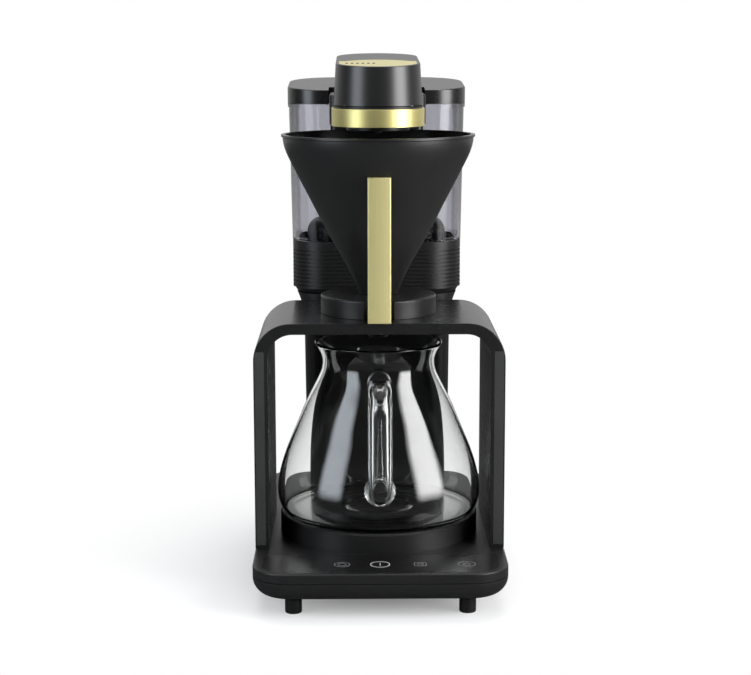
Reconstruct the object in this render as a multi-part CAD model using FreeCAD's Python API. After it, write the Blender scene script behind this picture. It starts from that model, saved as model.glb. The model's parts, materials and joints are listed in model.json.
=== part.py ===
import FreeCAD, Part
import math
import os

# Pour-over coffee brewer. Millimetres, +Z up, front towards -Y, +X to the viewer's right.
# The origin is the middle of the footprint, on the surface that the feet stand on.

os.makedirs("parts", exist_ok=True)
Vector = FreeCAD.Vector
UP = Vector(0, 0, 1)
BACK = Vector(0, 1, 0)
RIGHT = Vector(1, 0, 0)

# ---- clearances ----
moving_gap = 0.3        # between pieces that move past each other
fixed_gap = 0.15        # between pieces that are fixed together
shaft_gap = 0.05        # radial, shaft in its bearing
screw_gap = 0.1         # radial, screw shank in its hole
snug_gap = 0.02         # radial, pressed pieces

# ---- base ----
base_width = 226.0
base_front = -190.0
base_back = 190.0
base_corner = 34.0
base_bottom_round = 15.5
base_top_round = 1.5
foot_height = 17.0
foot_radius = 7.5
foot_x = 77.0
foot_y = 160.0
foot_stem_radius = 3.0
base_split = 34.0       # height of the joint between tub and cover
base_seam = 0.5
base_top = 43.0
base_wall = 2.6
cover_roof = 3.2
cover_ledge = 13.0      # what the cover leaves under the plinth's and tower's walls
base_screw_x = 92.0
base_screw_rows = (-120.0, 25.0, 160.0)
base_screw_recess = 4.0
base_lip = 2.0
base_lip_depth = 1.6
foot_groove_height = 1.2
foot_groove_depth = 0.8
foot_bulb = 1.2

# ---- control strip ----
strip_half_width = 104.0
strip_front = -184.0
strip_back = -131.0
strip_thickness = 1.2
strip_corner = 22.0
strip_back_corner = 3.0
board_thickness = 1.6
touch_board_half_width = 90.0
touch_board_margin = 9.0
standoff_height = 1.4
peg_radius = 2.5

# ---- brewing axis, shared by carafe, filter and head ----
axis_y = -36.0

# ---- warming plate and its plinth ----
plinth_radius = 92.5
plinth_height = 18.0
plinth_wall = 3.0
plate_radius = 80.0
plate_thickness = 2.9
plate_stand_out = 0.3
ledge_width = 6.0
seal_thickness = 1.5
ledge_thickness = 2.4
ring_groove_count = 5
ring_groove_start = 10.0
ring_groove_pitch = 11.0
ring_groove_width = 2.0
ring_groove_depth = 0.5
element_inner = 30.0
element_outer = 54.0
element_thickness = 6.0
thermostat_radius = 8.0
thermostat_thickness = 5.0

# ---- arch ----
arch_front = -108.0
arch_back = 39.0
arch_height = 206.5     # from the base top to the arch's own top
arch_leg = 13.0
arch_beam = 10.0
arch_outer_round = 34.0
arch_inner_round = 22.0
arch_edge = 0.6
inlay_width = 8.6
inlay_inset = 1.2
inlay_depth = 1.0
inlay_foot = 3.0
inlay_length = 178.0
arch_screw_rows = (-80.0, 10.0)
arch_screw_length = 16.0

# ---- drip spout ----
spout_radius = 13.0
spout_flange_radius = 17.0
spout_flange = 2.6
spout_drop = 13.0       # how far the spout hangs below the arch beam
spout_bore = 9.0
spout_floor = 3.0
drip_seat_radius = 4.0
drip_head_radius = 6.5
drip_head_thickness = 2.0
drip_stem_radius = 3.9
retainer_thickness = 2.0
retainer_hole_radius = 1.5
retainer_hole_circle = 5.0
guide_width = 22.0
guide_height = 4.0
guide_front = 40.0      # from the brewing axis
guide_back = 46.0
drain_radius = 6.0

# ---- filter ----
filter_base_radius = 53.4
filter_base_height = 17.2
filter_base_round = 2.0
cone_foot_height = 16.8     # cone's lower end above the arch top
cone_wall = 2.6
cone_outline = ((18.0, 0.0), (22.9, 12.7), (28.0, 23.7), (41.9, 48.3), (57.5, 78.3),
                (79.8, 121.7), (85.8, 135.7), (87.6, 147.6))
bead_reach = 1.2            # how far the rim's bead stands out of the cone
bead_height = 1.9
outlet_radius = 7.0
outlet_bore = 4.0
handle_width = 20.8
handle_front = -117.0
handle_thickness = 8.5
handle_height = 129.4
handle_lift = 1.1           # above the arch top
handle_foot_depth = 9.0
handle_foot_reach = 30.0    # how far the foot runs back from the bar
handle_notch_side = 3.4
lug_half_width = 5.0
lug_low = 96.0              # above the cone's foot
lug_high = 102.0
lug_depth = 3.0
handle_screw_x = 5.5
handle_screw_set_in = 5.0
handle_screw_head_radius = 2.5

# ---- carafe ----
carafe_lift = 0.3           # above the warming plate
carafe_wall = 2.4
carafe_floor = 3.2
carafe_foot_radius = 82.0
carafe_outline = ((82.0, 0.0), (90.6, 2.4), (93.6, 8.0), (94.9, 18.0), (92.8, 37.5), (88.6, 51.5),
                  (82.0, 70.5), (75.3, 84.5), (68.1, 103.5), (61.0, 118.5), (54.0, 133.5),
                  (51.6, 143.0), (53.6, 150.5), (59.0, 157.5), (59.4, 160.0))
carafe_handle_radius = 10.5
carafe_handle_bore = 7.5
carafe_handle_front = -148.0
carafe_handle_top = 131.0
carafe_handle_bottom = 40.0
carafe_handle_bend = 14.0
carafe_joint_radius = 14.0
carafe_joint_length = 16.0
carafe_upper_joint_radius = 12.0
carafe_upper_joint_length = 13.0

# ---- tower behind the carafe ----
tower_half_width = 70.0
tower_waist_half_width = 72.0
tower_top_half_width = 79.0
tower_front = 61.0
tower_back = 180.0
tower_corner = 18.0
tower_wall = 2.6
tower_flare_depth = 40.0    # the neck under the collar
tower_screw_x = 58.0
tower_screw_heights = (62.0, 206.0)
tower_screw_length = 12.0
tower_boss_length = 16.0
vent_count = 7
vent_pitch = 8.0
vent_width = 3.0
vent_half_length = 30.0
vent_bottom = 120.0
collar_bottom = 252.0
collar_chamfer = 5.0
collar_chamfer_inset = 4.3
collar_half_width = 83.3
collar_front = 57.5
collar_back = 183.4
collar_front_corner = 36.0
collar_back_corner = 46.0
collar_top = 303.5
collar_wall = 2.6
deck_top = 295.0
deck_thickness = 3.0
rib_count = 10
rib_pitch = 3.8
rib_height = 2.3
rib_depth = 1.3

# ---- cord gland in the tower's back ----
gland_x = 42.0
gland_z = 72.0
gland_bore = 3.7
gland_radius = 6.5
gland_flange_radius = 9.0
gland_flange = 2.5
gland_length = 16.0

# ---- water tank ----
tank_wall = 2.5
tank_floor = 2.7
tank_bottom_half_width = 83.6
tank_top_half_width = 86.2
tank_rim_height = 437.2
tank_rim_depth = 3.2
tank_rim_step = 1.0
spine_clearance = 1.5

# ---- tank valve ----
valve_y = 125.0
spigot_radius = 9.8
spigot_bore = 7.6
spigot_length = 7.0
valve_hole_radius = 5.5
valve_head_radius = 7.2
valve_head_thickness = 2.0
valve_stem_radius = 2.0
valve_travel = 4.0
valve_seat_gap = 0.1
spider_thickness = 1.6
socket_wall = 2.6
socket_depth = 19.0
socket_floor = 2.6
socket_play = 2.4           # round the spigot, for the seal
barb_length = 10.0
barb_radius = 4.0
barb_bore = 2.6
lift_pin_radius = 1.5
seal_depth = 7.0
dome_half_width = 70.0
dome_front = 88.0
dome_back = 166.0
dome_corner = 34.0
dome_height = 23.0
dome_round = 12.0
dome_wall = 2.0
dome_slot_count = 3
dome_slot_pitch = 3.6
dome_slot_width = 1.4

# ---- tank lid ----
lid_half_width = 87.2
lid_overhang = 1.6
lid_front_height = 14.0
lid_back_height = 23.4
lid_wall = 2.4
lid_edge = 1.6
hinge_y = 186.2
hinge_rise = 3.0            # above the tank's rim
knuckle_radius = 3.4
hinge_pin_radius = 1.5
knuckle_width = 16.0
knuckle_gap = 0.4

# ---- water heater and pipes ----
heater_half_width = 34.0
heater_front = 120.0
heater_back = 144.0
heater_bottom = 70.0
heater_top = 150.0
heater_port_x = 24.0
heater_port_height = 8.0
hose_radius = 5.0
hose_bore = 3.4
pipe_radius = 3.0
pipe_bore = 2.0
check_valve_radius = 7.0
check_valve_height = 18.0
harness_radius = 2.0

# ---- spine and brew head ----
spine_half_width = 45.0
spine_front = 57.2
spine_back = 79.2
spine_top = 448.6
spine_corner = 6.0
spine_wall = 2.4
boom_front = -5.0        # where the brew head's arm meets the gold band
passage_half_width = 22.0   # for pipe and wires, from collar to head
head_radius = 42.5
head_bottom = 421.5
band_height = 16.0
band_thickness = 1.5
shell_height = 18.0
shell_wall = 2.4
head_floor = 2.5
head_deck_thickness = 2.2
pour_disc_radius = 29.0
pour_disc_thickness = 3.6
pour_disc_drop = 0.9        # gap to the head's underside
hub_radius = 5.0
hub_bore = 3.0
hub_top_rise = 9.5          # above the head's underside
nozzle_offset = 20.0
nozzle_radius = 3.0
nozzle_bore = 1.0
nozzle_drop = 1.0
bearing_radius = 8.0
bearing_height = 5.5
bearing_flange_radius = 10.0
bearing_flange = 1.5
gear_module = 0.75
gear_teeth = 36
pinion_teeth = 12
gear_height = 3.3
tooth_share = 0.40          # tooth width over the tooth pitch, at the pitch circle
motor_radius = 10.0
motor_height = 16.0
motor_shaft_radius = 1.5
elbow_radius = 2.4
elbow_bore = 1.4
elbow_rise = 12.2
seal_ring_height = 1.5

# ---- hood over the brew head, and its scale ----
hood_radius = 40.6          # of both rounded ends, at the hood's foot
hood_taper = 0.055          # how much narrower each side gets with height
hood_gap = 0.8              # above the head deck
hood_front_height = 35.0
hood_back_height = 45.8
hood_wall = 2.4
hood_edge = 0.8
hood_boss_depth = 8.0
scale_radius = 35.6
scale_back = -16.0
scale_thickness = 0.8
mark_count = 6
mark_pitch = 4.9
mark_start = -28.4
mark_y = -39.0
mark_length = 9.0
mark_width = 2.2
mark_depth = 0.4
scale_board_half_width = 32.0
scale_board_front = -62.0
scale_board_back = -22.0
scale_board_thickness = 1.6
scale_board_peg_x = 24.0
board_peg_radius = 1.2

# ---- fasteners ----
screw_radius = 1.6
screw_head_radius = 3.1
screw_head_height = 2.4
boss_radius = 4.4
head_post_x = 30.0

# ---- heights and places that follow from the sizes above ----
arch_top = base_top + arch_height
beam_bottom = arch_top - arch_beam
plinth_top = base_top + plinth_height
plate_top = plinth_top + plate_stand_out
plate_bottom = plate_top - plate_thickness
carafe_bottom = plate_top + carafe_lift
half_base = base_width / 2
cover_underside = base_top - cover_roof
tank_bottom = deck_top + moving_gap
tank_floor_top = tank_bottom + tank_floor
lid_bottom = tank_rim_height + moving_gap
hinge_z = tank_rim_height + hinge_rise
head_floor_top = head_bottom + head_floor
shell_top = head_bottom + shell_height
head_deck_bottom = shell_top - head_deck_thickness
gear_radius = gear_module * gear_teeth / 2
pinion_radius = gear_module * pinion_teeth / 2
motor_x = -(gear_radius + pinion_radius)
gear_bottom = head_bottom + bearing_height + moving_gap
hood_bottom = shell_top + hood_gap
hood_front_z = hood_bottom + hood_front_height
hood_back_z = hood_bottom + hood_back_height
hood_front = axis_y - hood_radius + hood_taper * hood_front_height
hood_back = spine_back - hood_taper * hood_back_height


# ---- shape helpers ----

def block(x0, x1, y0, y1, z0, z1):
    return Part.makeBox(x1 - x0, y1 - y0, z1 - z0, Vector(x0, y0, z0))


def post(x, y, z0, z1, radius):
    return Part.makeCylinder(radius, z1 - z0, Vector(x, y, z0), UP)


def ring(x, y, z0, z1, outer, inner):
    return post(x, y, z0, z1, outer).cut(post(x, y, z0, z1, inner))


def rod_along_y(x, z, y0, y1, radius):
    return Part.makeCylinder(radius, y1 - y0, Vector(x, y0, z), BACK)


def rod_along_x(y, z, x0, x1, radius):
    return Part.makeCylinder(radius, x1 - x0, Vector(x0, y, z), RIGHT)


def joined(shapes):
    whole = shapes[0]
    for shape in shapes[1:]:
        whole = whole.fuse(shape)
    return whole.removeSplitter()


def arc(start, centre, end):
    # the short arc from start to end about centre, all at one height
    middle = (start - centre) + (end - centre)
    middle.normalize()
    radius = (start - centre).Length
    return Part.Arc(start, centre + middle * radius, end).toShape()


def plan(half_width, front, back, front_corner, back_corner, z):
    # a rectangle with rounded corners, seen from above
    inner_front = front + front_corner
    inner_back = back - back_corner
    right_front = half_width - front_corner
    right_back = half_width - back_corner
    edges = [
        Part.makeLine(Vector(-right_front, front, z), Vector(right_front, front, z)),
        arc(Vector(right_front, front, z), Vector(right_front, inner_front, z),
            Vector(half_width, inner_front, z)),
        Part.makeLine(Vector(half_width, inner_front, z), Vector(half_width, inner_back, z)),
        arc(Vector(half_width, inner_back, z), Vector(right_back, inner_back, z),
            Vector(right_back, back, z)),
        Part.makeLine(Vector(right_back, back, z), Vector(-right_back, back, z)),
        arc(Vector(-right_back, back, z), Vector(-right_back, inner_back, z),
            Vector(-half_width, inner_back, z)),
        Part.makeLine(Vector(-half_width, inner_back, z), Vector(-half_width, inner_front, z)),
        arc(Vector(-half_width, inner_front, z), Vector(-right_front, inner_front, z),
            Vector(-right_front, front, z)),
    ]
    return Part.Wire(edges)


def slab(half_width, front, back, front_corner, back_corner, low, high):
    outline = plan(half_width, front, back, front_corner, back_corner, low)
    return Part.Face(outline).extrude(UP * (high - low))


def tapered(low_plan, high_plan):
    return Part.makeLoft([low_plan, high_plan], True, True)


def round_edges(shape, radius, choose):
    edges = [edge for edge in shape.Edges if choose(edge)]
    return shape.makeFillet(radius, edges)


def flat_at(height):
    # edges that lie level at one height
    def choose(edge):
        box = edge.BoundBox
        return abs(box.ZMin - height) < 0.001 and abs(box.ZMax - height) < 0.001
    return choose


def turned(outline, x, y, z):
    # a closed outline of (radius, height) turned about the upright axis at x, y
    points = [Vector(x + radius, y, z + height) for radius, height in outline]
    face = Part.Face(Part.makePolygon(points + [points[0]]))
    return face.revolve(Vector(x, y, 0), UP, 360)


def curved_profile(outline, x, y, z):
    # a solid under one smooth curve through the outline's points, turned about the axis
    points = [Vector(x + radius, y, z + height) for radius, height in outline]
    curve = Part.BSplineCurve()
    curve.interpolate(points)
    foot = Vector(x, y, points[0].z)
    head = Vector(x, y, points[-1].z)
    edges = [Part.makeLine(foot, points[0]), curve.toShape(), Part.makeLine(points[-1], head),
             Part.makeLine(head, foot)]
    return Part.Face(Part.Wire(edges)).revolve(Vector(x, y, 0), UP, 360)


def inset(outline, wall):
    # the outline moved inwards, square to itself, by one wall
    moved = []
    for index, (radius, height) in enumerate(outline):
        before = outline[max(index - 1, 0)]
        after = outline[min(index + 1, len(outline) - 1)]
        across = after[0] - before[0]
        along = after[1] - before[1]
        length = math.hypot(across, along)
        moved.append((radius - wall * along / length, height + wall * across / length))
    return tuple(moved)


def route(points):
    # straight runs joined by tangent arcs, each as large as its runs allow
    runs = []
    start = points[0]
    for before, corner, after in zip(points, points[1:], points[2:]):
        back_run = before - corner
        next_run = after - corner
        shorter = min(back_run.Length, next_run.Length)
        turn = math.pi - back_run.getAngle(next_run)
        setback = 0.45 * shorter
        radius = setback / math.tan(turn / 2)
        entry = corner + back_run.normalize() * setback
        leave = corner + next_run.normalize() * setback
        towards = (entry - corner) + (leave - corner)
        towards.normalize()
        middle = corner + towards * (radius / math.cos(turn / 2) - radius)
        runs.append(Part.LineSegment(start, entry).toShape())
        runs.append(Part.Arc(entry, middle, leave).toShape())
        start = leave
    runs.append(Part.LineSegment(start, points[-1]).toShape())
    return Part.Wire(runs)


def swept(path, radius):
    first = path.OrderedEdges[0]
    at = first.valueAt(first.FirstParameter)
    along = first.tangentAt(first.FirstParameter)
    section = Part.Wire(Part.Circle(at, along, radius).toShape())
    return path.makePipeShell([section], True, False)


def pipe(points, outer, inner):
    path = route(points)
    return swept(path, outer).cut(swept(path, inner))


def coil(x, y, low, high, radius, wire, turns):
    helix = Part.makeHelix((high - low - 2 * wire) / turns, high - low - 2 * wire, radius)
    helix.translate(Vector(x, y, low + wire))
    first = helix.Edges[0]
    at = first.valueAt(first.FirstParameter)
    along = first.tangentAt(first.FirstParameter)
    section = Part.Wire(Part.Circle(at, along, wire).toShape())
    return Part.Wire(helix.Edges).makePipeShell([section], True, True)


def toothed_wheel(x, y, z0, height, teeth, tooth_on_right):
    # straight-flanked teeth with clearance all round, one tooth or one gap facing +X
    pitch_radius = gear_module * teeth / 2
    tip = pitch_radius + 0.85 * gear_module
    root = pitch_radius - 1.05 * gear_module
    step = 2 * math.pi / teeth
    shift = 0 if tooth_on_right else step / 2
    widths = ((root, 1.45), (tip, 0.5))
    points = []
    for number in range(teeth):
        middle = number * step + shift
        half = [step * tooth_share / 2 * width for radius, width in widths]
        for radius, angle in ((root, middle - half[0]), (tip, middle - half[1]),
                              (tip, middle + half[1]), (root, middle + half[0])):
            points.append(Vector(x + radius * math.cos(angle), y + radius * math.sin(angle), z0))
    face = Part.Face(Part.makePolygon(points + [points[0]]))
    return face.extrude(UP * height)


def screw_up(x, y, head_bottom_z, length):
    # head at the bottom, shank pointing up
    head = post(x, y, head_bottom_z, head_bottom_z + screw_head_height, screw_head_radius)
    slot = block(x - 2.2, x + 2.2, y - 0.4, y + 0.4, head_bottom_z, head_bottom_z + 1.0)
    shank = post(x, y, head_bottom_z + screw_head_height, head_bottom_z + screw_head_height + length,
                 screw_radius)
    return head.cut(slot).fuse(shank)


def screw_down(x, y, head_top_z, length):
    # head at the top, shank pointing down
    head = post(x, y, head_top_z - screw_head_height, head_top_z, screw_head_radius)
    slot = block(x - 2.2, x + 2.2, y - 0.4, y + 0.4, head_top_z - 1.0, head_top_z)
    shank = post(x, y, head_top_z - screw_head_height - length, head_top_z - screw_head_height,
                 screw_radius)
    return head.cut(slot).fuse(shank)


def screw_forward(x, z, head_back_y, length):
    # head at the back, shank pointing to the front
    head = rod_along_y(x, z, head_back_y - screw_head_height, head_back_y, screw_head_radius)
    slot = block(x - 2.2, x + 2.2, head_back_y - 1.0, head_back_y, z - 0.4, z + 0.4)
    shank = rod_along_y(x, z, head_back_y - screw_head_height - length, head_back_y - screw_head_height,
                        screw_radius)
    return head.cut(slot).fuse(shank)


def save(name, shape):
    solids = shape.Solids
    if not shape.isValid():
        print("INVALID", name)
    group = solids[0] if len(solids) == 1 else Part.makeCompound(solids)
    group.exportStep("parts/" + name + ".step")
    box = group.BoundBox
    print("%-18s %2d solids %9.1f mm3  X %7.1f %7.1f  Y %7.1f %7.1f  Z %6.1f %6.1f" % (
        name, len(solids), group.Volume, box.XMin, box.XMax, box.YMin, box.YMax, box.ZMin, box.ZMax))


# ---- base ----

screw_places = [(side * base_screw_x, row) for row in base_screw_rows for side in (-1, 1)]
foot_places = [(side * foot_x, end * foot_y) for end in (-1, 1) for side in (-1, 1)]
power_board_y = (84.0, 164.0)
power_board_half_width = 48.0
power_board_z = 25.0


def make_base_tub():
    shell = slab(half_base, base_front, base_back, base_corner, base_corner, foot_height, base_split)
    shell = round_edges(shell, base_bottom_round, flat_at(foot_height))
    hollow = slab(half_base - base_wall, base_front + base_wall, base_back - base_wall,
                  base_corner - base_wall,
                  base_corner - base_wall, foot_height + base_wall, base_split + 1)
    hollow = round_edges(hollow, base_bottom_round - base_wall, flat_at(foot_height + base_wall))
    shell = shell.cut(hollow)
    floor_top = foot_height + base_wall
    bosses = [post(x, y, floor_top - 1, base_split, boss_radius) for x, y in screw_places]
    stands = [post(side * (power_board_half_width - 5), y, floor_top - 1, power_board_z, 3.0)
              for side in (-1, 1) for y in (power_board_y[0] + 5, power_board_y[1] - 5)]
    shell = joined([shell] + bosses + stands)
    for x, y in screw_places:
        shell = shell.cut(post(x, y, foot_height - 1, base_split + 1, screw_radius + screw_gap))
        shell = shell.cut(post(x, y, foot_height - 1, foot_height + base_screw_recess,
                               screw_head_radius + screw_gap))
    for x, y in foot_places:
        shell = shell.cut(post(x, y, foot_height - 1, floor_top + 1, foot_stem_radius + screw_gap))
    return shell


def make_base_feet():
    feet = []
    for x, y in foot_places:
        pad = post(x, y, 0, foot_height, foot_radius)
        pad = round_edges(pad, 1.2, flat_at(0))
        groove_top = foot_height - 3.3
        groove = ring(x, y, groove_top - foot_groove_height, groove_top, foot_radius + 1,
                      foot_radius - foot_groove_depth)
        grip = foot_height + base_wall + moving_gap
        stem = post(x, y, foot_height, grip, foot_stem_radius)
        bulb = post(x, y, grip, grip + 2.7, foot_stem_radius + foot_bulb)
        feet.append(joined([pad.cut(groove), stem, bulb]))
    return Part.makeCompound(feet)


def make_base_cover():
    low = base_split + base_seam
    shell = slab(half_base, base_front, base_back, base_corner, base_corner, low, base_top)
    shell = round_edges(shell, base_top_round, flat_at(base_top))
    hollow = slab(half_base - base_wall, base_front + base_wall, base_back - base_wall,
                  base_corner - base_wall,
                  base_corner - base_wall, low - 1, cover_underside)
    lip_out = half_base - base_wall - fixed_gap
    lip_front = base_front + base_wall + fixed_gap
    lip = slab(lip_out, lip_front, -lip_front, base_corner - base_wall, base_corner - base_wall,
               base_split - base_lip_depth, low + base_lip)
    lip_corner = base_corner - base_wall - base_lip
    lip_hollow = slab(lip_out - base_lip, lip_front + base_lip, -lip_front - base_lip, lip_corner,
                      lip_corner,
                      base_split - base_lip_depth - 1, low + base_lip + 1)
    bridge = slab(half_base - 1, base_front + 1, base_back - 1, base_corner - 1, base_corner - 1, low,
                  low + base_lip)
    bridge = bridge.cut(lip_hollow)
    shell = joined([shell.cut(hollow), lip.cut(lip_hollow), bridge])
    bosses = [post(x, y, base_split + fixed_gap, base_top - 1, boss_radius) for x, y in screw_places]
    shell = joined([shell] + bosses)
    for x, y in screw_places:
        shell = shell.cut(post(x, y, base_split - 1, cover_underside - 1, screw_radius + screw_gap))
    # recess for the control strip
    shell = shell.cut(slab(strip_half_width + fixed_gap, strip_front - fixed_gap, strip_back + fixed_gap,
                           strip_corner, strip_back_corner, base_top - strip_thickness, base_top + 1))
    # opening under the warming plate and under the tower
    shell = shell.cut(post(0, axis_y, low - 1, base_top + 1, plinth_radius - plinth_wall - cover_ledge))
    shell = shell.cut(slab(tower_half_width - cover_ledge, tower_front + cover_ledge,
                           tower_back - cover_ledge, 8, 8,
                           low - 1, base_top + 1))
    for side in (-1, 1):
        for row in arch_screw_rows:
            x = side * (half_base - arch_leg / 2)
            shell = shell.cut(post(x, row, low - 3, cover_underside, screw_head_radius + screw_gap))
            shell = shell.cut(post(x, row, low - 1, base_top + 1, screw_radius + screw_gap))
    pegs = []
    for x in (-touch_board_half_width + 4, touch_board_half_width - 4):
        for y in (strip_front + touch_board_margin + 4, strip_back - touch_board_margin - 4):
            pegs.append(post(x, y, cover_underside - standoff_height, cover_underside + 0.5, peg_radius))
    return joined([shell] + pegs)


def make_base_screws():
    start = foot_height + base_screw_recess - screw_head_height
    length = cover_underside - 2 - foot_height - base_screw_recess
    return Part.makeCompound([screw_up(x, y, start, length) for x, y in screw_places])


def make_control_strip():
    return slab(strip_half_width, strip_front, strip_back, strip_corner - fixed_gap,
                strip_back_corner - fixed_gap,
                base_top - strip_thickness, base_top)


def make_touch_board():
    top = cover_underside - standoff_height
    board = block(-touch_board_half_width, touch_board_half_width, strip_front + touch_board_margin,
                  strip_back - touch_board_margin, top - board_thickness, top)
    sockets = [block(x - 5, x + 5, strip_back - touch_board_margin - 9, strip_back - touch_board_margin - 2,
                     top - board_thickness - 3, top - board_thickness) for x in (-60.0, 60.0)]
    return joined([board] + sockets)


def make_power_board():
    front, back = power_board_y
    top = power_board_z + board_thickness
    board = block(-power_board_half_width, power_board_half_width, front, back, power_board_z, top)
    supply = block(-40, -14, front + 24, front + 56, top, top + 12)
    relay = block(-6, 10, front + 24, front + 38, top, top + 12)
    relay_two = block(-6, 10, front + 44, front + 58, top, top + 12)
    capacitor = post(26, front + 34, top, top + 12, 6.0)
    terminal = block(-20, 30, front + 6, front + 16, top, top + 9)
    return joined([board, supply, relay, relay_two, capacitor, terminal])


# ---- warming plate ----

def make_plinth_ring():
    seat = plate_radius + fixed_gap
    ledge_top = plate_bottom - seal_thickness
    outline = (
        (plinth_radius - plinth_wall, base_top), (plinth_radius, base_top), (plinth_radius,
                                                                             plinth_top - 1.5),
        (plinth_radius - 1.5, plinth_top), (seat, plinth_top), (seat, ledge_top),
        (seat - ledge_width, ledge_top), (seat - ledge_width, ledge_top - ledge_thickness),
        (plinth_radius - plinth_wall, ledge_top - ledge_thickness),
    )
    return turned(outline, 0, axis_y, 0)


def make_warming_plate():
    plate = post(0, axis_y, plate_bottom, plate_top, plate_radius)
    plate = round_edges(plate, 0.8, flat_at(plate_top))
    for number in range(1, ring_groove_count + 1):
        middle = ring_groove_start + ring_groove_pitch * number
        plate = plate.cut(ring(0, axis_y, plate_top - ring_groove_depth, plate_top + 1,
                               middle + ring_groove_width / 2, middle - ring_groove_width / 2))
    return plate


def make_plate_seal():
    return ring(0, axis_y, plate_bottom - seal_thickness, plate_bottom, plate_radius - 0.5,
                plate_radius - ledge_width + 0.5)


def make_plate_element():
    low = plate_bottom - element_thickness
    element = ring(0, axis_y, low, plate_bottom, element_outer, element_inner)
    tabs = [block(x - 4, x + 4, axis_y + element_outer - 4, axis_y + element_outer + 8, low, low + 1.2)
            for x in (-12.0, 12.0)]
    return joined([element] + tabs)


# ---- arch ----

leg_centre = half_base - arch_leg / 2
arch_screw_places = [(side * leg_centre, row) for side in (-1, 1) for row in arch_screw_rows]


def arch_outline(half_width, top, corner, y):
    side_top = top - corner
    centre = half_width - corner
    low_left = Vector(-half_width, y, base_top)
    left = Vector(-half_width, y, side_top)
    top_left = Vector(-centre, y, top)
    top_right = Vector(centre, y, top)
    right = Vector(half_width, y, side_top)
    low_right = Vector(half_width, y, base_top)
    edges = [
        Part.makeLine(low_left, left),
        arc(left, Vector(-centre, y, side_top), top_left),
        Part.makeLine(top_left, top_right),
        arc(top_right, Vector(centre, y, side_top), right),
        Part.makeLine(right, low_right),
        Part.makeLine(low_right, low_left),
    ]
    return Part.Face(Part.Wire(edges))


def inlay_block(side, grow):
    outer = half_base - inlay_inset + grow
    inner = outer - inlay_width - 2 * grow
    x0, x1 = (inner, outer) if side > 0 else (-outer, -inner)
    low = base_top + inlay_foot - grow
    return block(x0, x1, arch_front - (1 if grow else 0), arch_front + inlay_depth + grow, low,
                 low + inlay_length + 2 * grow)


def make_arch_frame():
    depth = BACK * (arch_back - arch_front)
    outer = arch_outline(half_base, arch_top, arch_outer_round, arch_front).extrude(depth)
    inner = arch_outline(half_base - arch_leg, beam_bottom, arch_inner_round, arch_front).extrude(depth)
    frame = outer.cut(inner)

    def face_edges(edge):
        box = edge.BoundBox
        for y in (arch_front, arch_back):
            if abs(box.YMin - y) < 0.001 and abs(box.YMax - y) < 0.001 and box.ZMax > base_top + 1:
                return True
        return False

    frame = round_edges(frame, arch_edge, face_edges)
    for side in (-1, 1):
        frame = frame.cut(inlay_block(side, fixed_gap))
    for x, y in arch_screw_places:
        frame = frame.cut(post(x, y, base_top - 1, base_top + arch_screw_length, screw_radius + screw_gap))
    frame = frame.cut(post(0, axis_y, beam_bottom - 1, arch_top + 1, spout_radius + fixed_gap))
    for y in guide_screw_rows:
        frame = frame.cut(post(0, y, beam_bottom + 1.5, arch_top + 1, screw_radius + screw_gap))
    return frame


def make_arch_inlays():
    return Part.makeCompound([inlay_block(side, 0) for side in (-1, 1)])


def make_arch_screws():
    start = cover_underside - screw_head_height
    return Part.makeCompound([screw_up(x, y, start, cover_roof + arch_screw_length - 2) for x,
                              y in arch_screw_places])


# ---- drip spout and filter guide ----

guide_screw_rows = (axis_y - 28, axis_y + 34)
spout_bottom = beam_bottom - spout_drop
seat_top = spout_bottom + spout_floor
retainer_top = arch_top - 1.0
drip_head_bottom = seat_top + 0.05
drip_head_top = drip_head_bottom + drip_head_thickness
spring_top = retainer_top - retainer_thickness


def make_filter_guide():
    y0 = axis_y - guide_front
    y1 = axis_y + guide_back
    bar = block(-guide_width / 2, guide_width / 2, y0, y1, arch_top, arch_top + guide_height)
    bar = bar.cut(post(0, axis_y, arch_top - 1, arch_top + guide_height + 1, drain_radius))
    for y in guide_screw_rows:
        bar = bar.cut(post(0, y, arch_top - 1, arch_top + guide_height + 1, screw_radius + screw_gap))
        bar = bar.cut(post(0, y, arch_top + guide_height - screw_head_height - 0.3,
                           arch_top + guide_height + 1,
                           screw_head_radius + screw_gap))
    return bar


def make_guide_screws():
    top = arch_top + guide_height - 0.3
    length = arch_beam - 2 + guide_height - screw_head_height - 1.2
    return Part.makeCompound([screw_down(0, y, top, length) for y in guide_screw_rows])


def make_spout_housing():
    body = post(0, axis_y, spout_bottom + 4, arch_top, spout_radius)
    nose = Part.makeCone(spout_radius - 4.5, spout_radius, 4, Vector(0, axis_y, spout_bottom), UP)
    flange = post(0, axis_y, beam_bottom - fixed_gap - spout_flange, beam_bottom - fixed_gap,
                  spout_flange_radius)
    body = joined([body, nose, flange])
    body = body.cut(post(0, axis_y, seat_top, arch_top + 1, spout_bore))
    return body.cut(post(0, axis_y, spout_bottom - 1, seat_top + 1, drip_seat_radius))


def make_drip_valve():
    stem = post(0, axis_y, spout_bottom, drip_head_bottom, drip_stem_radius)
    for number in range(3):
        angle = math.radians(90 + 120 * number)
        stem = stem.cut(post(drip_stem_radius * math.cos(angle),
                             axis_y + drip_stem_radius * math.sin(angle),
                             spout_bottom - 1, drip_head_bottom - 0.6, 1.6))
    head = post(0, axis_y, drip_head_bottom, drip_head_top, drip_head_radius)
    pip = post(0, axis_y, drip_head_top, drip_head_top + 3, 2.0)
    return joined([stem, head, pip])


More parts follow.
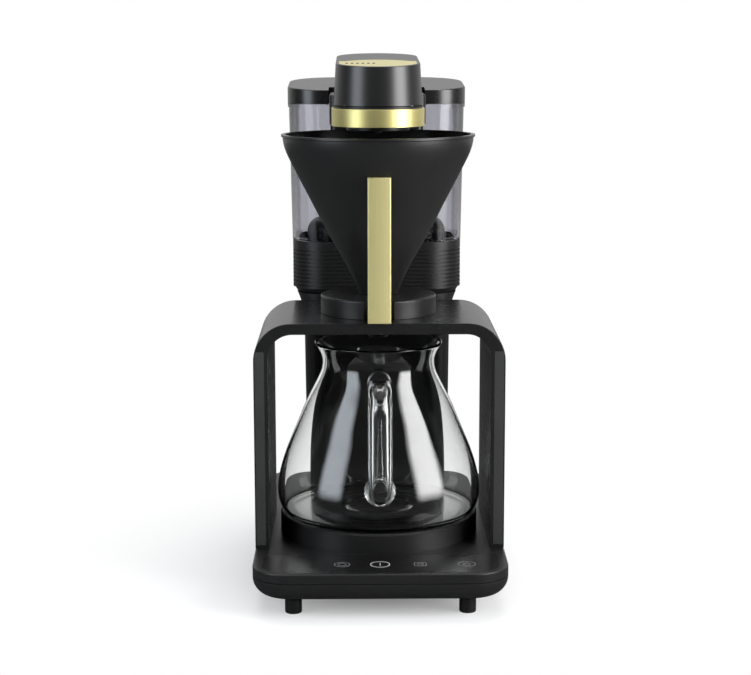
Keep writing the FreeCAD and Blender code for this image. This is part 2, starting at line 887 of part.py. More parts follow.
def make_spring_retainer():
    plate = post(0, axis_y, spring_top, retainer_top, spout_bore - snug_gap)
    plate = plate.cut(post(0, axis_y, spring_top - 1, retainer_top + 1, 1.8))
    for number in range(6):
        angle = math.radians(60 * number)
        plate = plate.cut(post(retainer_hole_circle * math.cos(angle),
                               axis_y + retainer_hole_circle * math.sin(angle),
                               spring_top - 1, retainer_top + 1, retainer_hole_radius))
    return plate


def make_drip_spring():
    return coil(0, axis_y, drip_head_top + 0.05, spring_top - 0.05, 3.6, 0.4, 6)


# ---- filter: cone, base, handle ----

filter_bottom = arch_top + moving_gap
filter_top = arch_top + filter_base_height
cone_foot = arch_top + cone_foot_height
handle_bottom = arch_top + handle_lift
handle_top = handle_bottom + handle_height
handle_back = handle_front + handle_thickness
foot_end = handle_back + handle_foot_reach
foot_top = handle_bottom + handle_foot_depth
handle_screw_places = [(side * handle_screw_x, foot_end - handle_screw_set_in) for side in (-1, 1)]


def cone_solid(outline):
    return curved_profile(outline, 0, axis_y, cone_foot)


def make_filter_cone():
    inner = list(inset(cone_outline, cone_wall))
    inner[0] = (outlet_bore, cone_wall)
    inner[1] = (inner[1][0] - 3.0, inner[1][1])
    low_height = inner[0][1]
    inner[-1] = (inner[-1][0], cone_outline[-1][1] + 0.5)
    shell = cone_solid(cone_outline)
    hollow = turned(tuple([(0, low_height)] + inner + [(0, inner[-1][1])]), 0, axis_y, cone_foot)
    outlet = post(0, axis_y, arch_top + guide_height + 0.7, cone_foot + 1, outlet_radius)
    rim_radius, rim_height = cone_outline[-1]
    bead_radius = rim_radius + bead_reach
    bead_low = rim_height - bead_height
    bead = turned(((rim_radius - 0.8, bead_low - 1.1), (bead_radius, bead_low), (bead_radius, rim_height),
                   (rim_radius - 0.8, rim_height)), 0, axis_y, cone_foot)
    lug = block(-lug_half_width, lug_half_width, handle_back - lug_depth, axis_y - 60, cone_foot + lug_low,
                cone_foot + lug_high)
    body = joined([shell, outlet, bead, lug]).cut(hollow)
    return body.cut(post(0, axis_y, arch_top, cone_foot + low_height + 1, outlet_bore))


def make_filter_base():
    disc = post(0, axis_y, filter_bottom, filter_top, filter_base_radius)
    disc = round_edges(disc, filter_base_round, flat_at(filter_top))
    # groove over the guide, open to the back
    groove_top = arch_top + guide_height + moving_gap
    half = guide_width / 2 + moving_gap
    disc = disc.cut(block(-half, half, axis_y - guide_front - moving_gap, axis_y + filter_base_radius + 1,
                          filter_bottom - 1, groove_top))
    # bore for the cone's outlet, and the seat for the cone's foot
    disc = disc.cut(post(0, axis_y, filter_bottom - 1, filter_top + 1, outlet_radius + snug_gap))
    disc = disc.cut(Part.makeCone(18.0 + fixed_gap, 19.0, 1.0, Vector(0, axis_y, cone_foot - fixed_gap),
                                  UP))
    # notch for the handle's foot
    notch = handle_width / 2 + handle_notch_side
    disc = disc.cut(block(-notch, notch, handle_back - 1, axis_y - filter_base_radius + 5.5,
                          filter_bottom - 1,
                          filter_top + 1))
    slot = handle_width / 2 + fixed_gap
    disc = disc.cut(block(-slot, slot, handle_back, foot_end + fixed_gap, filter_bottom - 1,
                          foot_top + fixed_gap))
    for x, y in handle_screw_places:
        disc = disc.cut(post(x, y, foot_top - 1, foot_top + 5, screw_radius + screw_gap))
    return disc


def make_filter_handle():
    half = handle_width / 2
    bar = block(-half, half, handle_front, handle_back, handle_bottom, handle_top)
    bar = round_edges(bar, 1.0, lambda edge: abs(edge.BoundBox.YMax - handle_front) < 0.001)
    foot = block(-half, half, handle_back - 1, foot_end, handle_bottom, foot_top)
    bar = joined([bar, foot])
    grown = tuple((radius + fixed_gap, height) for radius, height in cone_outline)
    bar = bar.cut(cone_solid(grown))
    bar = bar.cut(block(-lug_half_width - fixed_gap, lug_half_width + fixed_gap,
                        handle_back - lug_depth - fixed_gap,
                        handle_back + 10, cone_foot + lug_low - fixed_gap, cone_foot + lug_high + fixed_gap))
    for x, y in handle_screw_places:
        bar = bar.cut(post(x, y, handle_bottom - 1, foot_top + 1, screw_radius + screw_gap))
        bar = bar.cut(post(x, y, handle_bottom - 1, handle_bottom + screw_head_height + 0.2,
                           handle_screw_head_radius + screw_gap))
    return bar


def make_handle_screws():
    screws = []
    for x, y in handle_screw_places:
        head = post(x, y, handle_bottom + 0.2, handle_bottom + 0.2 + screw_head_height,
                    handle_screw_head_radius)
        shank = post(x, y, handle_bottom + 0.2 + screw_head_height, foot_top + 4.5, screw_radius)
        screws.append(head.fuse(shank))
    return Part.makeCompound(screws)


# ---- carafe ----

def make_carafe_glass():
    body = curved_profile(carafe_outline, 0, axis_y, carafe_bottom)
    inner = list(inset(carafe_outline, carafe_wall))
    inner[0] = (carafe_foot_radius - 2.0, carafe_floor)
    inner[1] = (88.4, 5.4)
    inner[-1] = (inner[-2][0] + 1.2, carafe_outline[-1][1])
    hollow = curved_profile(tuple(inner), 0, axis_y, carafe_bottom)
    cap = post(0, axis_y, carafe_bottom + inner[-1][1] - 0.01, carafe_bottom + inner[-1][1] + 2,
               inner[-1][0])
    body = body.cut(hollow).cut(cap)
    return body


def make_carafe_handle():
    top = carafe_bottom + carafe_handle_top
    bottom = carafe_bottom + carafe_handle_bottom
    front = carafe_handle_front
    bend = carafe_handle_bend
    corner = bend * (1 - math.sqrt(0.5))
    root = axis_y - 50.0
    lower_root = axis_y - 86.0
    edges = [
        Part.LineSegment(Vector(0, root, top), Vector(0, front + bend, top)).toShape(),
        Part.Arc(Vector(0, front + bend, top), Vector(0, front + corner, top - corner),
                 Vector(0, front, top - bend)).toShape(),
        Part.LineSegment(Vector(0, front, top - bend), Vector(0, front, bottom + bend)).toShape(),
        Part.Arc(Vector(0, front, bottom + bend), Vector(0, front + corner, bottom + corner),
                 Vector(0, front + bend, bottom)).toShape(),
        Part.LineSegment(Vector(0, front + bend, bottom), Vector(0, lower_root, bottom)).toShape(),
    ]
    path = Part.Wire(edges)
    tube = swept(path, carafe_handle_radius)
    bore = swept(path, carafe_handle_bore)
    upper = Part.makeCone(carafe_upper_joint_radius, carafe_handle_radius, carafe_upper_joint_length,
                          Vector(0, root, top), Vector(0, -1, 0))
    lower = Part.makeCone(carafe_joint_radius, carafe_handle_radius, carafe_joint_length,
                          Vector(0, lower_root, bottom), Vector(0, -1, 0))
    solid = joined([tube, upper, lower])
    solid = solid.cut(bore)
    grown = tuple((radius + fixed_gap, height) for radius, height in carafe_outline)
    body = curved_profile(grown, 0, axis_y, carafe_bottom)
    pieces = solid.cut(body).Solids
    pieces.sort(key=lambda piece: -piece.Volume)
    return pieces[0]


# ---- tower ----

def tower_plan(half_width, inset_by, z):
    # the front stays upright, and the sides and back spread with the width
    spread = half_width - tower_half_width
    return plan(half_width - inset_by, tower_front + inset_by, tower_back - inset_by,
                tower_corner + spread - inset_by, tower_corner + spread - inset_by, z)


def tower_column(inset_by, low, high):
    waist = tower_top - tower_flare_depth
    middle = tower_top - tower_flare_depth * 0.42
    half = tower_waist_half_width
    lower = tapered(tower_plan(tower_half_width, inset_by, low), tower_plan(half, inset_by, waist))
    neck = Part.makeLoft([tower_plan(half, inset_by, waist), tower_plan(half + 1.2, inset_by, middle),
                          tower_plan(tower_top_half_width, inset_by, high)], True, False)
    return joined([lower, neck])


tower_top = collar_bottom - fixed_gap
rear_cut = tower_back - tower_wall - 1.4
tower_screw_places = [(side * tower_screw_x, z) for z in tower_screw_heights for side in (-1, 1)]


def make_tower_shell():
    solid = tower_column(0, base_top, tower_top)
    hollow = tower_column(tower_wall, base_top - 0.01, tower_top + 0.01)
    shell = solid.cut(hollow)
    shell = shell.cut(block(-100, 100, rear_cut, tower_back + 1, base_top - 1, tower_top + 1))
    bosses = []
    for x, z in tower_screw_places:
        boss = rod_along_y(x, z, rear_cut - tower_boss_length, rear_cut, boss_radius)
        wall_x = x + math.copysign(tower_half_width - tower_screw_x, x)
        web = block(min(x, wall_x), max(x, wall_x), rear_cut - tower_boss_length, rear_cut, z - 1.5,
                    z + 1.5)
        bosses.append(boss.fuse(web).common(solid))
    shell = joined([shell] + bosses)
    for x, z in tower_screw_places:
        shell = shell.cut(rod_along_y(x, z, tower_back - screw_head_height - tower_screw_length - 0.5,
                                      rear_cut + 1,
                                      screw_radius + screw_gap))
    return shell


def make_tower_back():
    solid = tower_column(0, base_top, tower_top)
    panel = solid.common(block(-100, 100, rear_cut + fixed_gap, tower_back + 1, base_top - 1,
                               tower_top + 1))
    for x, z in tower_screw_places:
        panel = panel.cut(rod_along_y(x, z, rear_cut - 1, tower_back + 1, screw_radius + screw_gap))
        panel = panel.cut(rod_along_y(x, z, tower_back - screw_head_height, tower_back + 1,
                                      screw_head_radius + screw_gap))
    panel = panel.cut(rod_along_y(gland_x, gland_z, rear_cut - 1, tower_back + 1, gland_radius + snug_gap))
    for number in range(vent_count):
        z = vent_bottom + number * vent_pitch
        panel = panel.cut(block(-vent_half_length, vent_half_length, rear_cut - 1, tower_back + 1, z,
                                z + vent_width))
    return panel


def make_housing_screws():
    back = [screw_forward(x, z, tower_back, tower_screw_length) for x, z in tower_screw_places]
    start = head_bottom + 0.2
    deck_length = shell_top + hood_boss_depth - 1.0 - start - screw_head_height
    boom_length = spine_top + hood_boss_depth - 1.0 - start - screw_head_height
    head = [screw_up(x, y, start, deck_length) for x, y in deck_post_places]
    head += [screw_up(x, y, start, boom_length) for x, y in boom_post_places]
    return Part.makeCompound(back + head)


def make_cord_gland():
    barrel = rod_along_y(gland_x, gland_z, tower_back - gland_length + gland_flange, tower_back,
                         gland_radius)
    flange = rod_along_y(gland_x, gland_z, tower_back, tower_back + gland_flange, gland_flange_radius)
    body = joined([barrel, flange])
    return body.cut(rod_along_y(gland_x, gland_z, tower_back - gland_length, tower_back + gland_flange + 1,
                                gland_bore))


def spine_recess(grow, low, high):
    # the space in tank and lid that the spine stands in
    return block(-spine_half_width - grow, spine_half_width + grow, collar_front - 12, spine_back + grow,
                 low, high)


def make_tower_collar():
    low = collar_bottom
    body = slab(collar_half_width - rib_depth, collar_front + rib_depth, collar_back - rib_depth,
                collar_front_corner, collar_back_corner, low + collar_chamfer, collar_top)
    bevel = tapered(
        plan(collar_half_width - collar_chamfer_inset, collar_front + collar_chamfer_inset,
             collar_back - collar_chamfer_inset, collar_front_corner - 3, collar_back_corner - 3, low),
        plan(collar_half_width - rib_depth, collar_front + rib_depth, collar_back - rib_depth,
             collar_front_corner, collar_back_corner, low + collar_chamfer))
    ribs = []
    for number in range(rib_count):
        z = low + collar_chamfer + number * rib_pitch
        ribs.append(slab(collar_half_width, collar_front, collar_back, collar_front_corner,
                         collar_back_corner,
                         z, z + rib_height))
    plain = low + collar_chamfer + rib_count * rib_pitch
    ribs.append(slab(collar_half_width, collar_front, collar_back, collar_front_corner, collar_back_corner,
                     plain, collar_top))
    body = joined([body, bevel] + ribs)
    inner = collar_wall + rib_depth
    above = slab(collar_half_width - collar_wall, collar_front + collar_wall, collar_back - collar_wall,
                 collar_front_corner - collar_wall, collar_back_corner - collar_wall, deck_top,
                 collar_top + 1)
    below = slab(collar_half_width - inner - 3, collar_front + inner + 3, collar_back - inner - 3,
                 collar_front_corner - inner, collar_back_corner - inner, low + 3, deck_top - deck_thickness)
    body = body.cut(above).cut(below)
    # the opening down into the tower
    body = body.cut(slab(tower_waist_half_width - tower_wall - 1, tower_front + tower_wall + 3,
                         tower_back - tower_wall - 5, tower_corner - 6, tower_corner - 6, low - 1, low + 4))
    # pad that the spine stands on, with its passage for pipe and wires
    pad = block(-spine_half_width, spine_half_width, collar_front + 1, spine_back, deck_top - 1, collar_top)
    body = joined([body, pad])
    body = body.cut(block(-passage_half_width, passage_half_width, spine_front + 5, spine_back - 4,
                          deck_top - deck_thickness - 1, collar_top + 1))
    # socket for the tank's spigot
    socket_bottom = deck_top - socket_depth
    socket_inner = spigot_radius + moving_gap + socket_play
    socket = post(0, valve_y, socket_bottom, deck_top - 1, socket_inner + socket_wall)
    barb = post(0, valve_y, socket_bottom - barb_length, socket_bottom + 1, barb_radius)
    body = joined([body, socket, barb])
    body = body.cut(post(0, valve_y, socket_bottom + socket_floor, deck_top + 1, socket_inner))
    body = body.cut(post(0, valve_y, socket_bottom - barb_length - 1, socket_bottom + socket_floor + 1,
                         barb_bore))
    pin_top = tank_bottom - spigot_length + 1.0
    arm = block(-socket_inner - 1, socket_inner + 1, valve_y - 1.2, valve_y + 1.2, socket_bottom + 2,
                socket_bottom + 5)
    pin = post(0, valve_y, socket_bottom + 2, pin_top, lift_pin_radius)
    return joined([body, arm, pin])


def make_socket_seal():
    inner = spigot_radius + moving_gap
    return ring(0, valve_y, deck_top - seal_depth - 0.5, deck_top - 0.5, inner + socket_play - snug_gap,
                inner)


# ---- water heater, hoses and wiring ----

heater_y = (heater_front + heater_back) / 2


def make_flow_heater():
    body = block(-heater_half_width, heater_half_width, heater_front, heater_back, heater_bottom,
                 heater_top)
    body = round_edges(body, 6.0, lambda edge: edge.BoundBox.ZLength > 50)
    cut_away = block(-heater_half_width + 24, heater_half_width - 24, heater_front - 1, heater_back + 1,
                     heater_bottom + 26, heater_top + 1)
    body = body.cut(cut_away)
    ports = []
    for side in (-1, 1):
        ports.append(post(side * heater_port_x, heater_y, heater_top, heater_top + heater_port_height, 4.0))
    body = joined([body] + ports)
    for side in (-1, 1):
        body = body.cut(post(side * heater_port_x, heater_y, heater_bottom + 14,
                             heater_top + heater_port_height + 1,
                             2.6))
    return body.cut(rod_along_x(heater_y, heater_bottom + 14, -heater_port_x, heater_port_x, 2.6))


def make_heater_bracket():
    foot = block(-66, 66, heater_front - 2, heater_back + 2, base_top, base_top + 2)
    foot = foot.cut(block(-18, 18, heater_front - 3, heater_back + 3, base_top - 1, base_top + 3))
    rail = block(-heater_half_width, heater_half_width, heater_front, heater_back, heater_bottom - 2,
                 heater_bottom)
    legs = [block(x - 1, x + 1, heater_front, heater_back, base_top + 1,
                  heater_bottom - 1) for x in (-28.0, 28.0)]
    return joined([foot, rail] + legs)


def make_thermostats():
    on_plate = ring(0, axis_y, plate_bottom - thermostat_thickness, plate_bottom, thermostat_radius, 0.5)
    on_heater = [rod_along_y(side * 22, heater_bottom + 40, heater_front - thermostat_thickness,
                             heater_front,
                             thermostat_radius) for side in (-1, 1)]
    return Part.makeCompound([on_plate] + on_heater)


valve_base = heater_top + heater_port_height


def make_check_valve():
    x = -heater_port_x
    body = post(x, heater_y, valve_base, valve_base + check_valve_height, check_valve_radius)
    body = round_edges(body, 1.5, flat_at(valve_base + check_valve_height))
    return body.cut(post(x, heater_y, valve_base - 1, valve_base + check_valve_height + 1, 2.6))


def make_supply_hose():
    start = Vector(-heater_port_x, heater_y, valve_base + check_valve_height)
    end = Vector(0, valve_y, deck_top - socket_depth - barb_length)
    points = [start, Vector(-heater_port_x, heater_y, start.z + 24), Vector(0, valve_y, end.z - 42), end]
    return pipe(points, hose_radius, hose_bore)


pipe_y = spine_back - spine_wall - 6.8
pipe_z = head_bottom + elbow_rise
elbow_end = spine_front - 4.0


def make_riser_pipe():
    points = [
        Vector(heater_port_x, heater_y, valve_base),
        Vector(heater_port_x, heater_y, valve_base + 42),
        Vector(0, pipe_y, tower_top - 8),
        Vector(0, pipe_y, pipe_z),
        Vector(0, elbow_end, pipe_z),
    ]
    return pipe(points, pipe_radius, pipe_bore)


def make_harness():
    start_y = power_board_y[0] + 11
    side_x = -44.0
    run_x = -14.0
    points = [
        Vector(run_x, start_y, power_board_z + board_thickness + 9),
        Vector(run_x, start_y, 66),
        Vector(side_x, start_y + 4, 100),
        Vector(side_x, start_y + 4, 196),
        Vector(run_x, pipe_y, tower_top - 4),
        Vector(run_x, pipe_y, pipe_z - 2),
        Vector(run_x, elbow_end - 18, pipe_z - 2),
    ]
    return swept(route(points), harness_radius)


# ---- spine and brew head ----

def horseshoe(radius, back, low, high):
    # round at the front about the brewing axis, with straight sides to the back
    return joined([post(0, axis_y, low, high, radius), block(-radius, radius, axis_y, back, low, high)])


head_back = spine_front - fixed_gap
head_side = head_radius - band_thickness - fixed_gap
deck_post_places = [(side * head_post_x, axis_y - 14) for side in (-1, 1)]
boom_post_places = [(side * head_post_x, spine_front - 10) for side in (-1, 1)]
head_post_places = deck_post_places + boom_post_places
boom_boss_bottom = shell_top + fixed_gap


def make_spine_housing():
    low = collar_top + fixed_gap
    roof = spine_top - spine_wall
    column = slab(spine_half_width, spine_front, spine_back, spine_corner, spine_corner, low, spine_top)
    boom = slab(spine_half_width, boom_front, spine_back, spine_corner, spine_corner, head_bottom,
                spine_top)
    body = round_edges(joined([column, boom]), 1.5, flat_at(spine_top))
    body = body.cut(slab(spine_half_width - spine_wall, spine_front + spine_wall, spine_back - spine_wall,
                         spine_corner - spine_wall, spine_corner - spine_wall, low - 1, roof))
    body = body.cut(slab(spine_half_width - spine_wall, boom_front + spine_wall, spine_front,
                         spine_corner - spine_wall, spine_wall, head_bottom - 1, roof))
    # the head's shell passes under the boom's front wall
    body = body.cut(block(-head_side - fixed_gap, head_side + fixed_gap, boom_front - 1,
                          boom_front + spine_wall + spine_corner, head_bottom - 1, boom_boss_bottom))
    bosses = [post(x, y, boom_boss_bottom, roof + 1, boss_radius) for x, y in boom_post_places]
    body = joined([body] + bosses)
    for x, y in boom_post_places:
        body = body.cut(post(x, y, boom_boss_bottom - 1, spine_top + 1, screw_radius + screw_gap))
    return body.cut(block(-passage_half_width, passage_half_width, spine_front - 1,
                          spine_front + spine_wall + 1,
                          head_floor_top + 1, head_deck_bottom - fixed_gap))


def make_head_shell():
    outer = horseshoe(head_side, head_back, head_bottom, shell_top)
    inner = horseshoe(head_side + fixed_gap - shell_wall, head_back - shell_wall, head_floor_top,
                      shell_top + 1)
    shell = outer.cut(inner)
    posts = [post(x, y, head_floor_top - 1, head_deck_bottom, boss_radius) for x, y in head_post_places]
    shell = joined([shell] + posts)
    for x, y in head_post_places:
        shell = shell.cut(post(x, y, head_bottom - 1, head_deck_bottom + 1, screw_radius + screw_gap))
        shell = shell.cut(post(x, y, head_bottom - 1, head_bottom + screw_head_height + 0.2,
                               screw_head_radius + screw_gap))
    shell = shell.cut(block(-passage_half_width, passage_half_width, head_back - shell_wall - 1,
                            head_back + 1,
                            head_floor_top + 1, head_deck_bottom))
    shell = shell.cut(post(0, axis_y, head_bottom - 1, head_floor_top + 1, bearing_radius + snug_gap))
    return shell


def make_head_deck():
    deck = horseshoe(head_side - shell_wall, head_back - shell_wall - fixed_gap, head_deck_bottom,
                     shell_top)
    deck = deck.cut(post(motor_x, axis_y, head_deck_bottom - 1, shell_top + 1, motor_shaft_radius + 1.0))
    for x, y in head_post_places:
        deck = deck.cut(post(x, y, head_deck_bottom - 1, shell_top + 1, screw_radius + screw_gap))
    return deck


def make_gold_band():
    low = head_bottom
    high = head_bottom + band_height
    outer = horseshoe(head_radius, boom_front, low, high)
    outer = round_edges(outer, 0.5, flat_at(high))
    outer = outer.cut(block(-60, 60, boom_front - fixed_gap, 60, low - 1, high + 1))
    return outer.cut(horseshoe(head_radius - band_thickness, boom_front + 1, low - 1, high + 1))


def make_hub_bearing():
    barrel = post(0, axis_y, head_bottom, head_bottom + bearing_height, bearing_radius)
    flange = post(0, axis_y, head_floor_top + snug_gap, head_floor_top + bearing_flange,
                  bearing_flange_radius)
    return joined([barrel, flange]).cut(post(0, axis_y, head_bottom - 1, head_bottom + bearing_height + 1,
                                             hub_radius + shaft_gap))


def make_pour_disc():
    top = head_bottom - pour_disc_drop
    bottom = top - pour_disc_thickness
    disc = post(0, axis_y, bottom, top, pour_disc_radius)
    disc = round_edges(disc, 1.2, flat_at(bottom))
    hub = post(0, axis_y, top - 0.5, head_bottom + hub_top_rise, hub_radius)
    nozzle = post(0, axis_y - nozzle_offset, bottom - nozzle_drop, bottom + 0.5, nozzle_radius)
    body = joined([disc, hub, nozzle])
    middle = (top + bottom) / 2
    body = body.cut(post(0, axis_y, middle - 0.8 * nozzle_bore, head_bottom + hub_top_rise + 1, hub_bore))
    body = body.cut(rod_along_y(0, middle, axis_y - nozzle_offset, axis_y, nozzle_bore))
    return body.cut(post(0, axis_y - nozzle_offset + 1.5, bottom - nozzle_drop - 1, middle,
                         0.8 * nozzle_bore))


def make_arm_gear():
    wheel = toothed_wheel(0, axis_y, gear_bottom, gear_height, gear_teeth, False)
    return wheel.cut(post(0, axis_y, gear_bottom - 1, gear_bottom + gear_height + 1, hub_radius + snug_gap))


def make_motor_pinion():
    wheel = toothed_wheel(motor_x, axis_y, gear_bottom, gear_height, pinion_teeth, True)
    shaft = post(motor_x, axis_y, gear_bottom, shell_top + 8, motor_shaft_radius)
    return joined([wheel, shaft])


def make_arm_motor():
    body = post(motor_x, axis_y, shell_top, shell_top + motor_height, motor_radius)
    body = round_edges(body, 1.0, flat_at(shell_top + motor_height))
    return body.cut(post(motor_x, axis_y, shell_top - 1, shell_top + 8 + moving_gap,
                         motor_shaft_radius + shaft_gap))


def make_feed_elbow():
    stub_bottom = head_bottom + 3.0
    stub = post(0, axis_y, stub_bottom, pipe_z, elbow_radius)
    arm = rod_along_y(0, pipe_z, axis_y, elbow_end, elbow_radius)
    knee = Part.makeSphere(elbow_radius, Vector(0, axis_y, pipe_z))
    cuff = rod_along_y(0, pipe_z, elbow_end - 8, elbow_end, elbow_radius)
    body = joined([stub, arm, knee, cuff])
    body = body.cut(post(0, axis_y, stub_bottom - 1, pipe_z, elbow_bore))
    return body.cut(rod_along_y(0, pipe_z, axis_y, elbow_end + 1, elbow_bore))


def make_hub_seal():
    low = head_bottom + 5.0
    return ring(0, axis_y, low, low + seal_ring_height, hub_bore - shaft_gap, elbow_radius + snug_gap)


# ---- hood and scale ----

def below_slope(solid, lower):
    # what is left under a plane that rises from the hood's front edge to its back edge
    slope = (hood_back_z - hood_front_z) / (hood_back - hood_front)
    reach = 60.0
    y0 = hood_front - reach
    y1 = hood_back + reach
    low = hood_front_z - slope * reach - lower
    high = hood_back_z + slope * reach - lower
    corners = [Vector(-reach, y0, low), Vector(-reach, y1, high), Vector(-reach, y1, high + 200),
               Vector(-reach, y0, high + 200)]
    wedge = Part.Face(Part.makePolygon(corners + [corners[0]])).extrude(RIGHT * 2 * reach)
    return solid.cut(wedge)


def hood_form(inset, low, lower):
    # round at front and back, straight between, every side leaning in by the same taper
    tall = hood_back_height + 10
    foot = hood_radius - inset + hood_taper * (hood_bottom - low)
    crown = foot - hood_taper * tall
    rear_y = spine_back - hood_radius
    ends = [Part.makeCone(foot, crown, tall, Vector(0, y, low), UP) for y in (axis_y, rear_y)]
    corners = [Vector(-foot, axis_y, low), Vector(foot, axis_y, low),
               Vector(crown, axis_y, low + tall), Vector(-crown, axis_y, low + tall)]
    middle = Part.Face(Part.makePolygon(corners + [corners[0]])).extrude(Vector(0, rear_y - axis_y, 0))
    return below_slope(joined(ends + [middle]), lower)


def make_head_hood():
    outer = hood_form(0, hood_bottom, 0)
    outer = round_edges(outer, hood_edge, lambda edge: edge.BoundBox.ZMin > hood_bottom + 20
                        and edge.BoundBox.DiagonalLength > 50)
    body = outer.cut(hood_form(hood_wall, hood_bottom - 2, hood_wall))
    bosses = [post(x, y, hood_bottom, hood_back_z + 2, boss_radius) for x, y in deck_post_places]
    bosses += [post(x, y, spine_top, hood_back_z + 2, boss_radius) for x, y in boom_post_places]
    bosses += [post(x, y, board_bottom - 0.5, hood_back_z + 2, board_peg_radius) for x, y in board_peg_places]
    for boss in bosses:
        body = body.fuse(below_slope(boss, 1.4))
    body = body.removeSplitter()
    for x, y in deck_post_places:
        body = body.cut(post(x, y, hood_bottom - 1, hood_bottom + hood_boss_depth, screw_radius + screw_gap))
    for x, y in boom_post_places:
        body = body.cut(post(x, y, spine_top - 1, spine_top + hood_boss_depth, screw_radius + screw_gap))
    # over the arm the hood stands on its roof
    body = body.cut(block(-60, 60, boom_front - fixed_gap, spine_back + 1, hood_bottom - 1,
                          spine_top + fixed_gap))
    return body.cut(scale_solid(fixed_gap, 1.0))


def scale_solid(grow, above):
    # the plate let into the front of the hood's top
    plate = horseshoe(scale_radius + grow, scale_back + grow, hood_bottom, hood_bottom + 80)
    return below_slope(plate, -above).cut(below_slope(plate, scale_thickness + grow))


def make_hood_scale():
    body = scale_solid(0, 0)
    for number in range(mark_count):
        x = mark_start + number * mark_pitch
        mark = block(x - mark_width / 2, x + mark_width / 2, mark_y - mark_length / 2,
                     mark_y + mark_length / 2, hood_bottom, hood_bottom + 80)
        body = body.cut(mark.cut(below_slope(mark, mark_depth)))
    return body


board_top = hood_front_z - hood_wall - 6.0
board_bottom = board_top - scale_board_thickness
board_peg_places = [(side * scale_board_peg_x, y) for side in (-1, 1)
                    for y in (scale_board_front + 4, scale_board_back - 4)]


def make_scale_board():
    board = block(-scale_board_half_width, scale_board_half_width, scale_board_front, scale_board_back,
                  board_bottom, board_top)
    lamps = []
    for number in range(mark_count):
        x = mark_start + number * mark_pitch
        lamps.append(block(x - 1.2, x + 1.2, mark_y - 1.6, mark_y + 1.6, board_top - 0.2, board_top + 1.2))
    board = joined([board] + lamps)
    board = board.common(horseshoe(hood_radius - hood_wall - 2.0, scale_board_back, board_bottom - 1,
                                   board_top + 2))
    for x, y in deck_post_places:
        board = board.cut(post(x, y, board_bottom - 1, board_top + 2, boss_radius + moving_gap))
    for x, y in board_peg_places:
        board = board.cut(post(x, y, board_bottom - 1, board_top + 1, board_peg_radius + snug_gap))
    return board


# ---- water tank ----

def tank_plan(half_width, shrink, z):
    return plan(half_width - shrink, collar_front + shrink, collar_back - shrink,
                collar_front_corner - shrink,
                collar_back_corner - shrink, z)


knuckle_edges = [(-2.5 + number) * (knuckle_width + knuckle_gap) for number in range(5)]


def knuckle(number, radius):
    start = knuckle_edges[number]
    return rod_along_x(hinge_y, hinge_z, start, start + knuckle_width, radius)


def make_water_tank():
    rim_low = tank_rim_height - tank_rim_depth
    low = collar_top + moving_gap
    outer = tapered(tank_plan(tank_bottom_half_width, 0, low),
                    tank_plan(tank_top_half_width, 0, tank_rim_height))
    step = collar_wall + moving_gap    # the foot stands inside the collar's wall
    foot = slab(collar_half_width - step, collar_front + step, collar_back - step,
                collar_front_corner - step,
                collar_back_corner - step, tank_bottom, low + 1)
    rim = slab(tank_top_half_width + tank_rim_step, collar_front - tank_rim_step,
               collar_back + tank_rim_step,
               collar_front_corner, collar_back_corner, rim_low, tank_rim_height)
    body = joined([outer, foot, rim])
    body = body.cut(spine_recess(spine_clearance, tank_bottom - 1, tank_rim_height + 1))
    shrink = step + tank_wall
    hollow_low = slab(collar_half_width - shrink, collar_front + shrink, collar_back - shrink,
                      collar_front_corner - shrink, collar_back_corner - shrink, tank_floor_top, low + 2)
    hollow = tapered(tank_plan(tank_bottom_half_width, tank_wall, low + 2),
                     tank_plan(tank_top_half_width, tank_wall, tank_rim_height + 0.5))
    hollow = joined([hollow_low, hollow])
    hollow = hollow.cut(spine_recess(spine_clearance + tank_wall, tank_bottom - 1, tank_rim_height + 2))
    body = body.cut(hollow)
    spigot = post(0, valve_y, tank_bottom - spigot_length, tank_bottom + 1, spigot_radius)
    body = joined([body, spigot])
    body = body.cut(post(0, valve_y, tank_bottom - spigot_length - 1, tank_bottom - 1.5, spigot_bore))
    body = body.cut(post(0, valve_y, tank_bottom - 3, tank_floor_top + 1, valve_hole_radius))
    # guide for the valve stem
    web_low = tank_bottom - spigot_length + 2.6
    web = ring(0, valve_y, web_low, web_low + spider_thickness, 3.6, valve_stem_radius + shaft_gap)
    arms = block(-spigot_bore - 0.5, spigot_bore + 0.5, valve_y - 1, valve_y + 1, web_low,
                 web_low + spider_thickness)
    arms = arms.cut(post(0, valve_y, web_low - 1, web_low + 3, 3.0))
    body = joined([body, web, arms])
    # hinge ears at the back
    ears = []
    for number in (0, 2, 4):
        start = knuckle_edges[number]
        arm = block(start, start + knuckle_width, collar_back - 2, hinge_y + 2, hinge_z - 9,
                    tank_rim_height)
        neck = block(start, start + knuckle_width, hinge_y - 2, hinge_y + 2, tank_rim_height - 1, hinge_z)
        ears.append(joined([knuckle(number, knuckle_radius), arm.cut(hollow), neck]))
    body = joined([body] + ears)
    for number in (1, 3):
        start = knuckle_edges[number]
        body = body.cut(rod_along_x(hinge_y, hinge_z, start - knuckle_gap,
                                    start + knuckle_width + knuckle_gap,
                                    knuckle_radius + 0.5))
    return body.cut(rod_along_x(hinge_y, hinge_z, -100, 100, hinge_pin_radius + snug_gap))


def make_tank_valve():
    low = tank_bottom - spigot_length + 1.0 + moving_gap
    head = tank_floor_top + valve_travel + valve_seat_gap
    stem = post(0, valve_y, low, head, valve_stem_radius)
    plate = post(0, valve_y, head, head + valve_head_thickness, valve_head_radius)
    pip = post(0, valve_y, head + valve_head_thickness, head + valve_head_thickness + 2.0, 1.4)
    return joined([stem, plate, pip])


